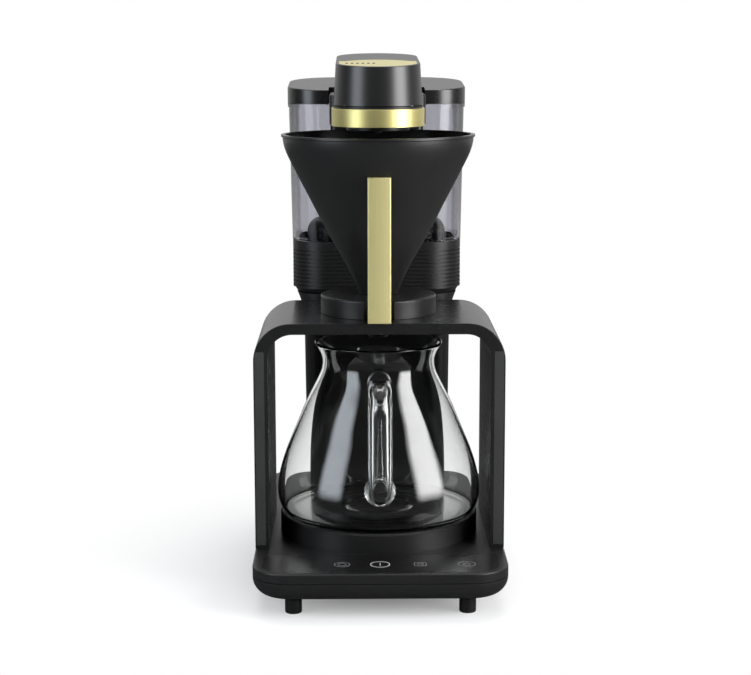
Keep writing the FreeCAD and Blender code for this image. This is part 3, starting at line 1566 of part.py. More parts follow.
valve_spring_low = tank_floor_top + valve_travel + valve_seat_gap + valve_head_thickness + 0.05
dome_top = tank_floor_top + dome_height
valve_spring_high = dome_top - dome_wall - 0.05


def make_tank_spring():
    return coil(0, valve_y, valve_spring_low, valve_spring_high, 3.4, 0.35, 5)


def make_tank_dome():
    low = tank_floor_top
    body = slab(dome_half_width, dome_front, dome_back, dome_corner, dome_corner, low, dome_top)
    body = round_edges(body, dome_round, flat_at(dome_top))
    hollow = slab(dome_half_width - dome_wall, dome_front + dome_wall, dome_back - dome_wall,
                  dome_corner - dome_wall, dome_corner - dome_wall, low - 1, dome_top - dome_wall)
    hollow = round_edges(hollow, dome_round - dome_wall, flat_at(dome_top - dome_wall))
    body = body.cut(hollow)
    first = (dome_front + dome_back - (dome_slot_count - 1) * dome_slot_pitch - dome_slot_width) / 2
    for number in range(dome_slot_count):
        y = first + number * dome_slot_pitch
        body = body.cut(block(-dome_half_width - 1, dome_half_width + 1, y, y + dome_slot_width, low + 1.5,
                              low + 7))
    return body


def make_tank_lid():
    low = lid_bottom
    front = collar_front - lid_overhang
    back = collar_back + lid_overhang
    tall = lid_back_height + lid_edge + 5
    body = slab(lid_half_width, front, back, collar_front_corner, collar_back_corner, low, low + tall)
    body = lid_slope(body, front, back, 0)
    body = round_edges(body, lid_edge, lambda edge: edge.BoundBox.ZMin > low + 6)
    hollow = slab(lid_half_width - lid_wall, front + lid_wall, back - lid_wall,
                  collar_front_corner - lid_wall,
                  collar_back_corner - lid_wall, low - 1, low + tall)
    hollow = lid_slope(hollow, front, back, lid_wall)
    recess = spine_recess(spine_clearance, low - 2, low + tall + 1)
    hollow = hollow.cut(spine_recess(spine_clearance + lid_wall, low - 2, low + tall + 1))
    body = body.cut(recess).cut(hollow)
    groove = slab(lid_half_width + 1, front - 1, back + 1, collar_front_corner, collar_back_corner,
                  low + 1.6, low + 2.2)
    groove = groove.cut(slab(lid_half_width - 0.6, front + 0.6, back - 0.6, collar_front_corner,
                             collar_back_corner,
                             low + 1, low + 3))
    body = body.cut(groove)
    knuckles = []
    for number in (1, 3):
        start = knuckle_edges[number]
        arm = block(start, start + knuckle_width, back - 2, hinge_y, hinge_z - 1, hinge_z + knuckle_radius)
        knuckles.append(knuckle(number, knuckle_radius).fuse(arm))
    body = joined([body] + knuckles)
    for number in (0, 2, 4):
        start = knuckle_edges[number]
        body = body.cut(rod_along_x(hinge_y, hinge_z, start - knuckle_gap,
                                    start + knuckle_width + knuckle_gap,
                                    knuckle_radius + 0.5))
    return body.cut(rod_along_x(hinge_y, hinge_z, -100, 100, hinge_pin_radius + shaft_gap))


def lid_slope(solid, front, back, under):
    front_z = lid_bottom + lid_front_height - under
    back_z = lid_bottom + lid_back_height - under
    reach = 20.0
    slope = (back_z - front_z) / (back - front)
    corners = [Vector(-100, front - reach, front_z - slope * reach),
               Vector(-100, back + reach, back_z + slope * reach),
               Vector(-100, back + reach, back_z + 100), Vector(-100, front - reach, back_z + 100)]
    return solid.cut(Part.Face(Part.makePolygon(corners + [corners[0]])).extrude(RIGHT * 200))


def make_lid_pin():
    reach = 2.5 * (knuckle_width + knuckle_gap) + 0.5
    return rod_along_x(hinge_y, hinge_z, -reach, reach, hinge_pin_radius)


pieces = {
    "base_tub": make_base_tub,
    "base_feet": make_base_feet,
    "base_cover": make_base_cover,
    "base_screws": make_base_screws,
    "control_strip": make_control_strip,
    "touch_board": make_touch_board,
    "power_board": make_power_board,
    "plinth_ring": make_plinth_ring,
    "warming_plate": make_warming_plate,
    "plate_seal": make_plate_seal,
    "plate_element": make_plate_element,
    "thermostats": make_thermostats,
    "arch_frame": make_arch_frame,
    "arch_inlays": make_arch_inlays,
    "arch_screws": make_arch_screws,
    "filter_guide": make_filter_guide,
    "guide_screws": make_guide_screws,
    "spout_housing": make_spout_housing,
    "spring_retainer": make_spring_retainer,
    "drip_spring": make_drip_spring,
    "drip_valve": make_drip_valve,
    "tower_shell": make_tower_shell,
    "tower_back": make_tower_back,
    "housing_screws": make_housing_screws,
    "tower_collar": make_tower_collar,
    "socket_seal": make_socket_seal,
    "flow_heater": make_flow_heater,
    "heater_bracket": make_heater_bracket,
    "check_valve": make_check_valve,
    "supply_hose": make_supply_hose,
    "riser_pipe": make_riser_pipe,
    "wire_harness": make_harness,
    "cord_gland": make_cord_gland,
    "spine_housing": make_spine_housing,
    "head_shell": make_head_shell,
    "head_deck": make_head_deck,
    "gold_band": make_gold_band,
    "hub_bearing": make_hub_bearing,
    "hub_seal": make_hub_seal,
    "feed_elbow": make_feed_elbow,
    "arm_motor": make_arm_motor,
    "scale_board": make_scale_board,
    "pour_disc": make_pour_disc,
    "arm_gear": make_arm_gear,
    "motor_pinion": make_motor_pinion,
    "head_hood": make_head_hood,
    "hood_scale": make_hood_scale,
    "filter_cone": make_filter_cone,
    "filter_base": make_filter_base,
    "filter_handle": make_filter_handle,
    "handle_screws": make_handle_screws,
    "carafe_glass": make_carafe_glass,
    "carafe_handle": make_carafe_handle,
    "water_tank": make_water_tank,
    "tank_dome": make_tank_dome,
    "tank_valve": make_tank_valve,
    "tank_spring": make_tank_spring,
    "tank_lid": make_tank_lid,
    "lid_pin": make_lid_pin,
}

for name, make in pieces.items():
    save(name, make())
print(len(pieces), "nodes")
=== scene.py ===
import json
import math
import bpy
import numpy as np
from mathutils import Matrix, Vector


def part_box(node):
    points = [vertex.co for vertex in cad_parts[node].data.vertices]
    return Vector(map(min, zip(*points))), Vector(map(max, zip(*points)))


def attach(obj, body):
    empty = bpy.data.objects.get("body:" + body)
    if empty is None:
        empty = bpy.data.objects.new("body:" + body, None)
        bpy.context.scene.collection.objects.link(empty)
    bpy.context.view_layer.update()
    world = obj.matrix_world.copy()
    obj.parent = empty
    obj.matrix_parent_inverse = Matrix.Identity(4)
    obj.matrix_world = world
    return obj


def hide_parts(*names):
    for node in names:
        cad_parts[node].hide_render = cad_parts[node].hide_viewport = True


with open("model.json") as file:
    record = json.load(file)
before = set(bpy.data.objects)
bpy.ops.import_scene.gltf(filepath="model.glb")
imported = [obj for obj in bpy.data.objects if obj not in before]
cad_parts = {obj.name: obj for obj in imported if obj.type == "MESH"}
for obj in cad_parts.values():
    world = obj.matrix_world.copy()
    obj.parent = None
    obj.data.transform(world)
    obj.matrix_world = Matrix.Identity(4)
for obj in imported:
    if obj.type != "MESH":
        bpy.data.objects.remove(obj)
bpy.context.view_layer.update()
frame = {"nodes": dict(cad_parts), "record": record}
nodes = frame["nodes"]
print("frame loaded:", len(nodes), "nodes")


# small helpers for node trees

def newMaterial(name):
    material = bpy.data.materials.new(name)
    material.use_nodes = True
    material.node_tree.nodes.clear()
    return material, material.node_tree


def addNode(tree, kind, inputs=None, **settings):
    node = tree.nodes.new(kind)
    for key, value in settings.items():
        setattr(node, key, value)
    for key, value in (inputs or {}).items():
        if hasattr(value, "is_output"):
            tree.links.new(value, node.inputs[key])
        else:
            node.inputs[key].default_value = value
    return node


def objectSpace(tree, scale=(1, 1, 1)):
    coordinates = addNode(tree, "ShaderNodeTexCoord")
    mapping = addNode(tree, "ShaderNodeMapping", {"Vector": coordinates.outputs["Object"], "Scale": scale})
    return mapping.outputs["Vector"]


def noise(tree, vector, scale, detail=2.0, rough=0.5):
    return addNode(tree, "ShaderNodeTexNoise", {"Vector": vector, "Scale": scale, "Detail": detail,
                                                "Roughness": rough}).outputs["Fac"]


def remap(tree, value, low, high, fromLow=0.3, fromHigh=0.7):
    return addNode(tree, "ShaderNodeMapRange", {"Value": value, "From Min": fromLow, "From Max": fromHigh,
                                                "To Min": low, "To Max": high}).outputs["Result"]


def maths(tree, operation, first, second):
    return addNode(tree, "ShaderNodeMath", {0: first, 1: second}, operation=operation).outputs[0]


def vectorMaths(tree, operation, *inputs):
    node = addNode(tree, "ShaderNodeVectorMath", dict(enumerate(inputs)), operation=operation)
    return node.outputs["Value" if operation in ("DOT_PRODUCT", "LENGTH") else "Vector"]


def blendColour(tree, factor, first, second):
    node = addNode(tree, "ShaderNodeMix", data_type="RGBA")
    tree.links.new(factor, node.inputs["Factor"])
    for key, value in (("A", first), ("B", second)):
        socket = [s for s in node.inputs if s.name == key and s.type == "RGBA"][0]
        if hasattr(value, "is_output"):
            tree.links.new(value, socket)
        else:
            socket.default_value = value
    return [s for s in node.outputs if s.type == "RGBA"][0]


def bump(tree, height, distance, strength=0.4):
    return addNode(tree, "ShaderNodeBump", {"Height": height, "Distance": distance,
                                            "Strength": strength}).outputs["Normal"]


def finishSurface(tree, shader):
    output = addNode(tree, "ShaderNodeOutputMaterial")
    tree.links.new(shader.outputs[0], output.inputs["Surface"])


def grey(level):
    return (level, level, level, 1)


def scaled(colour, share):
    return tuple(c * share for c in colour[:3]) + (1,)


# materials

def satinPlastic(name, colour, roughness, grain, specular=0.35, grainDepth=0.00004):
    material, tree = newMaterial(name)
    where = objectSpace(tree)
    fine = noise(tree, where, grain, 3.0, 0.6)
    broad = noise(tree, where, 26.0, 2.0)
    base = blendColour(tree, remap(tree, broad, 0, 1), colour, scaled(colour, 1.12))
    shader = addNode(tree, "ShaderNodeBsdfPrincipled", {
        "Base Color": base,
        "Roughness": remap(tree, broad, roughness - 0.008, roughness + 0.012, 0.2, 0.8),
        "Specular IOR Level": specular,
        "Normal": bump(tree, fine, grainDepth, 0.5),
    })
    finishSurface(tree, shader)
    return material


def brushedMetal(name, colour, roughness, along, metallic=1.0, depth=0.00001, crown=0.0):
    material, tree = newMaterial(name)
    stretch = {"x": (12, 2400, 2400), "y": (2400, 12, 2400), "z": (2400, 2400, 12)}[along]
    where = objectSpace(tree, stretch)
    lines = noise(tree, where, 1.0, 2.0, 0.6)
    broad = noise(tree, objectSpace(tree), 30.0, 2.0)
    base = blendColour(tree, remap(tree, lines, 0, 1), scaled(colour, 0.9), colour)
    normal = bump(tree, lines, depth, 0.3)
    if crown:
        # a gently crowned face: its height falls with the square of x
        x = addNode(tree, "ShaderNodeSeparateXYZ", {0: objectSpace(tree)}).outputs["X"]
        height = maths(tree, "MULTIPLY", maths(tree, "MULTIPLY", x, x), -crown)
        normal = addNode(tree, "ShaderNodeBump", {"Height": height, "Distance": 1.0, "Strength": 1.0,
                                                  "Normal": normal}).outputs["Normal"]
    shader = addNode(tree, "ShaderNodeBsdfPrincipled", {
        "Base Color": base,
        "Metallic": metallic,
        "Roughness": remap(tree, broad, roughness - 0.02, roughness + 0.03),
        "Normal": normal,
    })
    finishSurface(tree, shader)
    return material


def clearGlass(name, colour, roughness, ior, waves=0.0001, corners=None):
    material, tree = newMaterial(name)
    where = objectSpace(tree)
    wave = noise(tree, where, 14.0, 0.0)
    if corners:
        # painted shade: between the two given distances from the middle the tint goes over to a dark grey, a
        # dark band at the tank's sides standing in for the glass seen edge-on
        side = maths(tree, "ABSOLUTE", addNode(tree, "ShaderNodeSeparateXYZ", {0: where}).outputs["X"], 0.0)
        colour = blendColour(tree, remap(tree, side, 0, 1, *corners), colour, grey(0.10))
    shader = addNode(tree, "ShaderNodeBsdfPrincipled", {
        "Base Color": colour,
        "Roughness": roughness,
        "IOR": ior,
        "Transmission Weight": 1.0,
        "Normal": bump(tree, wave, waves, 0.1),
    })
    finishSurface(tree, shader)
    return material


def coneFinish(name, axis):
    # satin outside and polished inside: the side shows in how far the surface turns to the cone's axis
    material, tree = newMaterial(name)
    where = objectSpace(tree)
    fine = noise(tree, where, 2200.0, 3.0, 0.6)
    broad = noise(tree, where, 22.0, 2.0)
    flat = vectorMaths(tree, "MULTIPLY", vectorMaths(tree, "SUBTRACT", where, axis), (1, 1, 0))
    radial = vectorMaths(tree, "NORMALIZE", flat)
    turned = addNode(tree, "ShaderNodeNewGeometry").outputs["Normal"]
    facing = vectorMaths(tree, "DOT_PRODUCT", radial, turned)
    outside = remap(tree, facing, 0, 1, -0.1, 0.1)
    base = blendColour(tree, remap(tree, broad, 0, 1), grey(0.008), grey(0.0105))
    uneven = remap(tree, broad, -0.01, 0.02)
    shader = addNode(tree, "ShaderNodeBsdfPrincipled", {
        "Base Color": base,
        "Roughness": maths(tree, "ADD", remap(tree, outside, 0.10, 0.36, 0, 1), uneven),
        "Specular IOR Level": 0.45,
        "Normal": bump(tree, fine, 0.00003, maths(tree, "MULTIPLY", outside, 0.5)),
    })
    finishSurface(tree, shader)
    return material


# metres, from the middle of the brewer
ticks = {
    "start": -0.0284,
    "pitch": 0.0049,
    "count": 6,
    "middle": -0.039,
    "length": 0.0094,
    "width": 0.0024,
}


def markedGold(name):
    # dark ticks on the brushed plate: bands of x a pitch apart, kept to a short run of y
    material, tree = newMaterial(name)
    where = objectSpace(tree)
    lines = noise(tree, objectSpace(tree, (12, 2400, 2400)), 1.0, 2.0, 0.6)
    place = addNode(tree, "ShaderNodeSeparateXYZ", {0: where}).outputs
    fromFirst = maths(tree, "SUBTRACT", place["X"], ticks["start"] - ticks["pitch"] / 2)
    step = maths(tree, "DIVIDE", fromFirst, ticks["pitch"])
    near = ((maths(tree, "FRACT", step, 0.0), 0.5, ticks["width"] / ticks["pitch"] / 2),
            (step, ticks["count"] / 2, ticks["count"] / 2),
            (place["Y"], ticks["middle"], ticks["length"] / 2))
    masks = [addNode(tree, "ShaderNodeMath", dict(enumerate(test)), operation="COMPARE").outputs[0]
             for test in near]
    inside = maths(tree, "MULTIPLY", maths(tree, "MULTIPLY", masks[0], masks[1]), masks[2])
    gold = blendColour(tree, remap(tree, lines, 0, 1), (0.50, 0.45, 0.20, 1), (0.58, 0.52, 0.24, 1))
    shader = addNode(tree, "ShaderNodeBsdfPrincipled", {
        "Base Color": blendColour(tree, inside, gold, grey(0.012)),
        "Metallic": remap(tree, inside, 0.6, 0.0, 0, 1),
        "Roughness": remap(tree, inside, 0.34, 0.6, 0, 1),
        "Normal": bump(tree, lines, 0.00001, 0.3),
    })
    finishSurface(tree, shader)
    return material


finishes = {
    "satin_black": satinPlastic("satinBlack", grey(0.009), 0.36, 2600.0),
    "gloss_black": satinPlastic("glossBlack", grey(0.007), 0.25, 900.0, 0.5, 0.00001),
    "arch_coat": satinPlastic("archCoat", grey(0.008), 0.27, 3200.0, 0.5, 0.00003),
    "inlay_grey": satinPlastic("inlayGrey", grey(0.026), 0.5, 3200.0),
    "gold_brushed": brushedMetal("goldBrushed", (0.66, 0.60, 0.29, 1), 0.34, "z", 0.5),
    "clear_glass": clearGlass("carafeGlass", (0.985, 0.995, 0.99, 1), 0.0, 1.47),
    # the smoke tank's last two numbers place its painted edge shade
    "smoke_clear": clearGlass("smokeTank", (0.58, 0.58, 0.615, 1), 0.02, 1.3, 0.0001, (0.0795, 0.0835)),
    "rubber_black": satinPlastic("rubberBlack", grey(0.008), 0.38, 1800.0, 0.4),
    "plate_coat": satinPlastic("plateCoat", grey(0.012), 0.3, 2200.0),
    "heater_metal": brushedMetal("heaterCast", (0.55, 0.56, 0.57, 1), 0.45, "x"),
    "bare_steel": brushedMetal("bareSteel", (0.58, 0.58, 0.57, 1), 0.3, "x"),
    "board_green": satinPlastic("boardGreen", (0.02, 0.12, 0.05, 1), 0.4, 900.0),
    "silicone_clear": satinPlastic("siliconeHose", (0.55, 0.53, 0.48, 1), 0.4, 400.0),
    "natural_nylon": satinPlastic("naturalNylon", (0.6, 0.57, 0.5, 1), 0.45, 900.0),
    "seal_red": satinPlastic("sealRed", (0.35, 0.04, 0.02, 1), 0.55, 900.0),
}
own = {
    "filter_cone": coneFinish("coneBlack", (0, -0.036, 0)),
    "tank_lid": satinPlastic("lidBlack", grey(0.009), 0.27, 3000.0, 0.55, 0.00002),
    "head_hood": satinPlastic("hoodBlack", grey(0.009), 0.32, 3000.0, 0.6, 0.00002),
    "hood_scale": markedGold("scaleGold"),
    # painted shade: the band's gold is a darker, more olive copy of the brushed gold with less metal, so the
    # band reads as in shade
    "gold_band": brushedMetal("bandGoldShaded", (0.64, 0.57, 0.24, 1), 0.4, "z", 0.8),
    "filter_handle": brushedMetal("handleGold", (0.64, 0.575, 0.27, 1), 0.3, "z", 0.5, 0.00001, 14.0),
}
slotOf = {part["node"]: part["material_slot"] for part in frame["record"]["subparts"]}
for name, node in nodes.items():
    node.data.materials.clear()
    node.data.materials.append(own.get(name, finishes[slotOf[name]]))
print("materials made:", len(finishes) + len(own))


# helpers for shaped pieces, in millimetres until the mesh is made

def addPiece(name, verts, faces, body, slotName, replaced=()):
    mesh = bpy.data.meshes.new(name)
    mesh.from_pydata((np.asarray(verts) / 1000).tolist(), [], faces)
    mesh.polygons.foreach_set("use_smooth", [True] * len(mesh.polygons))
    mesh.materials.append(finishes[slotName])
    mesh.update()
    piece = bpy.data.objects.new(name, mesh)
    bpy.context.scene.collection.objects.link(piece)
    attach(piece, body)
    if replaced:
        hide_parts(*replaced)
    return piece


def smoothLine(points, count):
    # natural cubic spline through the points, by the chord lengths between them: its second slopes m solve
    # h0 m0 + 2 (h0 + h1) m1 + h1 m2 = 6 (rise1 / h1 - rise0 / h0), with none at either end
    points = np.asarray(points, float)
    h = np.linalg.norm(np.diff(points, axis=0), axis=1)
    size = len(points)
    matrix = np.eye(size)
    right = np.zeros_like(points)
    inner = np.arange(1, size - 1)
    matrix[inner, inner - 1] = h[:-1]
    matrix[inner, inner] = 2 * (h[:-1] + h[1:])
    matrix[inner, inner + 1] = h[1:]
    slopes = np.diff(points, axis=0) / h[:, None]
    right[1:-1] = 6 * np.diff(slopes, axis=0)
    m = np.linalg.solve(matrix, right)
    knots = np.concatenate([[0], np.cumsum(h)])
    at = np.linspace(0, knots[-1], count)
    k = np.clip(np.searchsorted(knots, at, side="right") - 1, 0, size - 2)
    a, b, step = (knots[k + 1] - at)[:, None], (at - knots[k])[:, None], h[k][:, None]
    curve = (m[k] * a ** 3 + m[k + 1] * b ** 3) / (6 * step)
    before = (points[k] / step - m[k] * step / 6) * a
    after = (points[k + 1] / step - m[k + 1] * step / 6) * b
    return curve + before + after


def latheFaces(rows, steps):
    # quads between neighbouring rings, and a fan of triangles at the first and last single point
    index = 1 + np.arange(rows * steps).reshape(rows, steps)
    turn = np.roll(index, -1, axis=1)
    quads = np.stack([index[:-1], turn[:-1], turn[1:], index[1:]], axis=-1).reshape(-1, 4)
    last = 1 + rows * steps
    start = np.stack([np.zeros(steps, int), turn[0], index[0]], axis=-1)
    end = np.stack([np.full(steps, last), index[-1], turn[-1]], axis=-1)
    return start.tolist() + quads.tolist() + end.tolist()


def latheVerts(profile, steps, centre):
    # x = r cos a, y = r sin a, z from the profile, about the centre line
    profile = np.asarray(profile)
    r, z = profile[1:-1, 0], profile[1:-1, 1]
    a = np.arange(steps) * 2 * np.pi / steps
    ring = np.stack([np.outer(r, np.cos(a)) + centre[0], np.outer(r, np.sin(a)) + centre[1],
                     np.repeat(z[:, None], steps, axis=1) + centre[2]], axis=-1).reshape(-1, 3)
    ends = [[centre[0], centre[1], z + centre[2]] for z in profile[[0, -1], 1]]
    return np.concatenate([[ends[0]], ring, [ends[1]]])


# carafe glass

carafe = {
    "centre": (0.0, -36.0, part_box("carafe_glass")[0][2] * 1000),
    "outline": ((88.36, 0.33), (91.52, 5.06), (94.24, 12.21), (95.0, 24.01), (91.75, 41.87), (85.48, 60.99),
                (76.30, 83.12), (67.01, 105.25), (57.02, 125.31), (52.82, 136.50), (52.64, 145.88),
                (55.47, 153.02), (59.30, 159.00)),
    "wall": 2.4,
    "floor": 3.4,
    "footRadius": 82.0,
    "footHollow": ((10, 0.9), (26, 0.9), (40, 0.6)),    # the raised middle of the underside
    "ringRadius": 31.0,
    "ringHeight": 1.6,
    "ringWidth": 2.2,
    "domeHeight": 0.8,
    "rows": 110,
    "steps": 192,
}


def carafeOutside(count):
    return smoothLine(carafe["outline"], count)


def makeCarafe():
    outer = carafeOutside(carafe["rows"])
    slope = np.gradient(outer, axis=0)
    slope /= np.linalg.norm(slope, axis=1)[:, None]
    inner = outer + np.stack([-slope[:, 1], slope[:, 0]], axis=1) * carafe["wall"]
    inner = inner[inner[:, 1] > carafe["floor"] + 2.5]
    # half a turn over the lip, from the outer edge to the inner one
    middle = (outer[-1] + inner[-1]) / 2
    arm = outer[-1] - middle
    turn = np.linspace(0, np.pi, 9)[1:-1]
    lip = middle + np.outer(np.cos(turn), arm) + np.outer(np.sin(turn), (-arm[1], arm[0]))
    low, ring, foot = carafe["floor"], carafe["ringRadius"], carafe["footRadius"]
    corner = smoothLine([inner[0], (inner[0][0] - 2.4, low + 0.7), (inner[0][0] - 6.0, low)], 8)[1:]
    r = np.linspace(corner[-1][0] - 4, 2, 60)
    # a raised ring on the floor: a bell curve of the distance from it, with a shallow dome inside
    ridge = carafe["ringHeight"] * np.exp(-((r - ring) / carafe["ringWidth"]) ** 2)
    dome = carafe["domeHeight"] * np.clip(1 - (r / ring) ** 2, 0, 1)
    floor = np.stack([r, low + (ridge + dome)], axis=1)
    hollow = carafe["footHollow"]
    under = [(0, hollow[0][1]), *hollow, (foot - 14, 0.6), (foot - 4, 0.5), (foot, 0.05), (foot + 3.5, 0.02)]
    profile = np.concatenate([under, outer, lip, inner[::-1], corner, floor, [(0, floor[-1][1])]])
    steps = carafe["steps"]
    addPiece("carafeGlass", latheVerts(profile, steps, carafe["centre"]),
             latheFaces(len(profile) - 2, steps), "carafe", "clear_glass", ["carafe_glass"])


makeCarafe()
print("carafe glass made")


# carafe handle

handle = {
    "radius": 10.5,
    "bore": 7.6,
    "front": -148.0,
    "top": 131.0,
    "bottom": 40.0,
    "bend": 16.0,
    "upperFlare": 0.6,
    "lowerFlare": 3.6,
    "flareLength": 7.0,
    "crown": 0.7,
    "crownRow": 22,
    "crownLength": 7.0,
    "gap": 0.25,
    "steps": 48,
}


def surfaceFront(x, z):
    # the front of the carafe at a height and sideways place: y = centre - sqrt((r + gap)^2 - x^2)
    outline = carafeOutside(400)
    r = np.interp(z, outline[:, 1], outline[:, 0]) + handle["gap"]
    return carafe["centre"][1] - np.sqrt(r ** 2 - x ** 2)


def makeCarafeHandle():
    base = carafe["centre"][2]
    front, bend = handle["front"], handle["bend"]
    top, bottom = handle["top"], handle["bottom"]
    upperRoot, lowerRoot = surfaceFront(0.0, top), surfaceFront(0.0, bottom)
    quarter = np.linspace(0, np.pi / 2, 13)
    across, rise = bend * np.sin(quarter), bend * np.cos(quarter)
    # back to front along the top arm, a quarter turn, down, a quarter turn, and back to the glass
    topArm = np.stack([np.linspace(upperRoot, front + bend, 16)[:-1], np.full(15, top)], axis=1)
    topBend = np.stack([front + bend - across, top - bend + rise], axis=1)
    drop = np.stack([np.full(20, front), np.linspace(top - bend, bottom + bend, 22)[1:-1]], axis=1)
    lowBend = np.stack([front + bend - rise, bottom + bend - across], axis=1)
    lowArm = np.stack([np.linspace(front + bend, lowerRoot, 8)[1:], np.full(7, bottom)], axis=1)
    line = np.concatenate([topArm, topBend, drop, lowBend, lowArm])
    along = np.gradient(line, axis=0)
    along /= np.linalg.norm(along, axis=1)[:, None]
    side = np.stack([-along[:, 1], along[:, 0]], axis=1)
    run = np.concatenate([[0], np.cumsum(np.linalg.norm(np.diff(line, axis=0), axis=1))])
    # the wall swells towards each root by a falling exponential
    swell = (handle["upperFlare"] * np.exp(-(run / handle["flareLength"]) ** 1.5)
             + handle["lowerFlare"] * np.exp(-((run[-1] - run) / handle["flareLength"]) ** 1.5))
    # the bore narrows where the tube was bent
    crown = handle["crown"] * np.exp(-((run - run[handle["crownRow"]]) / handle["crownLength"]) ** 2)
    a = np.arange(handle["steps"]) * 2 * np.pi / handle["steps"]

    def tube(radius):
        # each ring: middle + radius (cos a sideways in the bend's plane, sin a along x)
        y = line[:, :1] + radius[:, None] * np.cos(a) * side[:, :1]
        z = line[:, 1:] + radius[:, None] * np.cos(a) * side[:, 1:]
        x = radius[:, None] * np.sin(a) * np.ones_like(y)
        for end in (0, -1):
            y[end] = surfaceFront(x[end], z[end])
        return np.stack([x, y, z + base], axis=-1)

    outer = tube(handle["radius"] + swell)
    inner = tube(handle["bore"] + swell * 0.8 - crown)
    rows, steps = outer.shape[:2]
    index = np.arange(rows * steps).reshape(rows, steps)
    turn = np.roll(index, -1, axis=1)
    count = rows * steps
    walls = np.stack([index[:-1], index[1:], turn[1:], turn[:-1]], axis=-1).reshape(-1, 4)
    bore = np.stack([index[:-1], turn[:-1], turn[1:], index[1:]], axis=-1).reshape(-1, 4) + count
    first = np.stack([index[0], turn[0], turn[0] + count, index[0] + count], axis=-1)
    final = np.stack([index[-1], index[-1] + count, turn[-1] + count, turn[-1]], axis=-1)
    faces = np.concatenate([walls, bore, first, final])[:, ::-1]  # corners in turn, seen from outside
    addPiece("carafeHandle", np.concatenate([outer.reshape(-1, 3), inner.reshape(-1, 3)]), faces.tolist(),
             "carafe", "clear_glass", ["carafe_handle"])


makeCarafeHandle()
print("carafe handle made")


# marks on the control strip

marks = {
    "front": -160.0,
    "places": (-34.0, -0.4, 35.0, 76.0),
    "levels": (0.16, 0.55, 0.16, 0.16),
    "radius": 8.4,
    "line": 0.7,
    "lift": 0.06,
    "thickness": 0.12,
}


def strokeRibbon(points, closed, width):
    # two edges half a width to each side of the line, at the bottom and the top of a thin layer
    points = np.asarray(points, float)
    if closed:
        ahead, behind = np.roll(points, -1, axis=0), np.roll(points, 1, axis=0)
    else:
        ahead, behind = np.concatenate([points[1:], points[-1:]]), np.concatenate([points[:1], points[:-1]])
    along = ahead - behind
    along /= np.linalg.norm(along, axis=1)[:, None]
    side = np.stack([-along[:, 1], along[:, 0]], axis=1) * width / 2
    count = len(points)
    corners = [points + side, points - side]
    verts = np.concatenate([np.c_[corner, np.full(count, z)]
                            for z in (0, marks["thickness"]) for corner in corners])
    index = np.arange(count)
    step = (index + 1) % count
    if not closed:
        index, step = index[:-1], step[:-1]
    faces = []
    for first, second in ((2, 3), (1, 0), (3, 1), (0, 2)):
        faces.append(np.stack([index + first * count, index + second * count, step + second * count,
                               step + first * count], axis=-1))
    faces = np.concatenate(faces).tolist()
    if not closed:
        for end, order in ((0, (0, 1, 3, 2)), (count - 1, (0, 2, 3, 1))):
            faces.append([end + place * count for place in order])
    return verts, faces


def turnOnce(count):
    return np.linspace(0, 2 * np.pi, count, endpoint=False)


def circle(radius):
    a = turnOnce(56)
    return np.stack([radius * np.cos(a), radius * np.sin(a)], axis=1)


def softSquare(half):
    # cos a and sin a, each raised to a small power with its sign kept, fill a circle out to a square
    a = turnOnce(56)
    waves = np.stack([np.cos(a), np.sin(a)], axis=1)
    return half * np.sign(waves) * np.abs(waves) ** 0.35


def dropOutline(radius):
    # x = 0.55 radius cos a (1 - sin a) and y = radius sin a, which comes to a point at the top
    a = turnOnce(40)
    return np.stack([radius * np.cos(a) * (1 - np.sin(a)) * 0.55, radius * np.sin(a)], axis=1)


def makeMarks():
    r = marks["radius"]
    # each line of a mark, and whether it is closed: two rings, an upright stroke, a square and a drop
    designs = (
        ((circle(r * 0.8), True), (circle(r * 0.42), True)),
        ((circle(r), True), ([(0, -r * 0.45), (0, 0), (0, r * 0.5)], False)),
        ((softSquare(r * 0.62), True), (circle(r * 0.32), True)),
        ((circle(r * 0.92), True), (dropOutline(r * 0.5), True)),
    )
    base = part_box("control_strip")[1][2] * 1000 + marks["lift"]
    for number, (x, design) in enumerate(zip(marks["places"], designs)):
        verts, faces, total = [], [], 0
        for points, closed in design:
            some, quads = strokeRibbon(points, closed, marks["line"])
            verts.append(some + (x, marks["front"], base))
            faces += [[corner + total for corner in quad] for quad in quads]
            total += len(some)
        piece = addPiece("touchMark%d" % (number + 1), np.concatenate(verts), faces, "stand", "inlay_grey")
        colour = grey(marks["levels"][number])
        piece.data.materials[0] = satinPlastic("markPrint%d" % (number + 1), colour, 0.5, 3000.0, 0.3, 0.00001)


makeMarks()
print("control marks made")


# floor, background and light

studio = {
    "floorRadius": 2.6,
    "floorFadeStart": 0.08,
    "floorFadeEnd": 0.31,
    "floorColour": grey(0.88),
    "floorMirrored": 0.10,
    "frontMirrored": 0.08,
    "backMirrored": 0.66,
    "ceilingMirrored": 0.5,
    "fillLevel": 0.32,
    "softEdge": 0.45,
    "aim": (0, 0, 0.3),
    "left": {"place": (-1.25, -0.85, 0.72), "size": (1.05, 1.6), "level": 5.2,
             "tint": (0.86, 0.93, 1.0, 1)},
    "right": {"place": (1.25, -0.75, 0.72), "size": (1.2, 1.6), "level": 11.0,
              "tint": (1, 1, 1, 1)},
    "top": {"place": (0, 0.35, 1.7), "size": (1.3, 1.1), "aim": (0, 0, 0.2), "watts": 22.0},
}


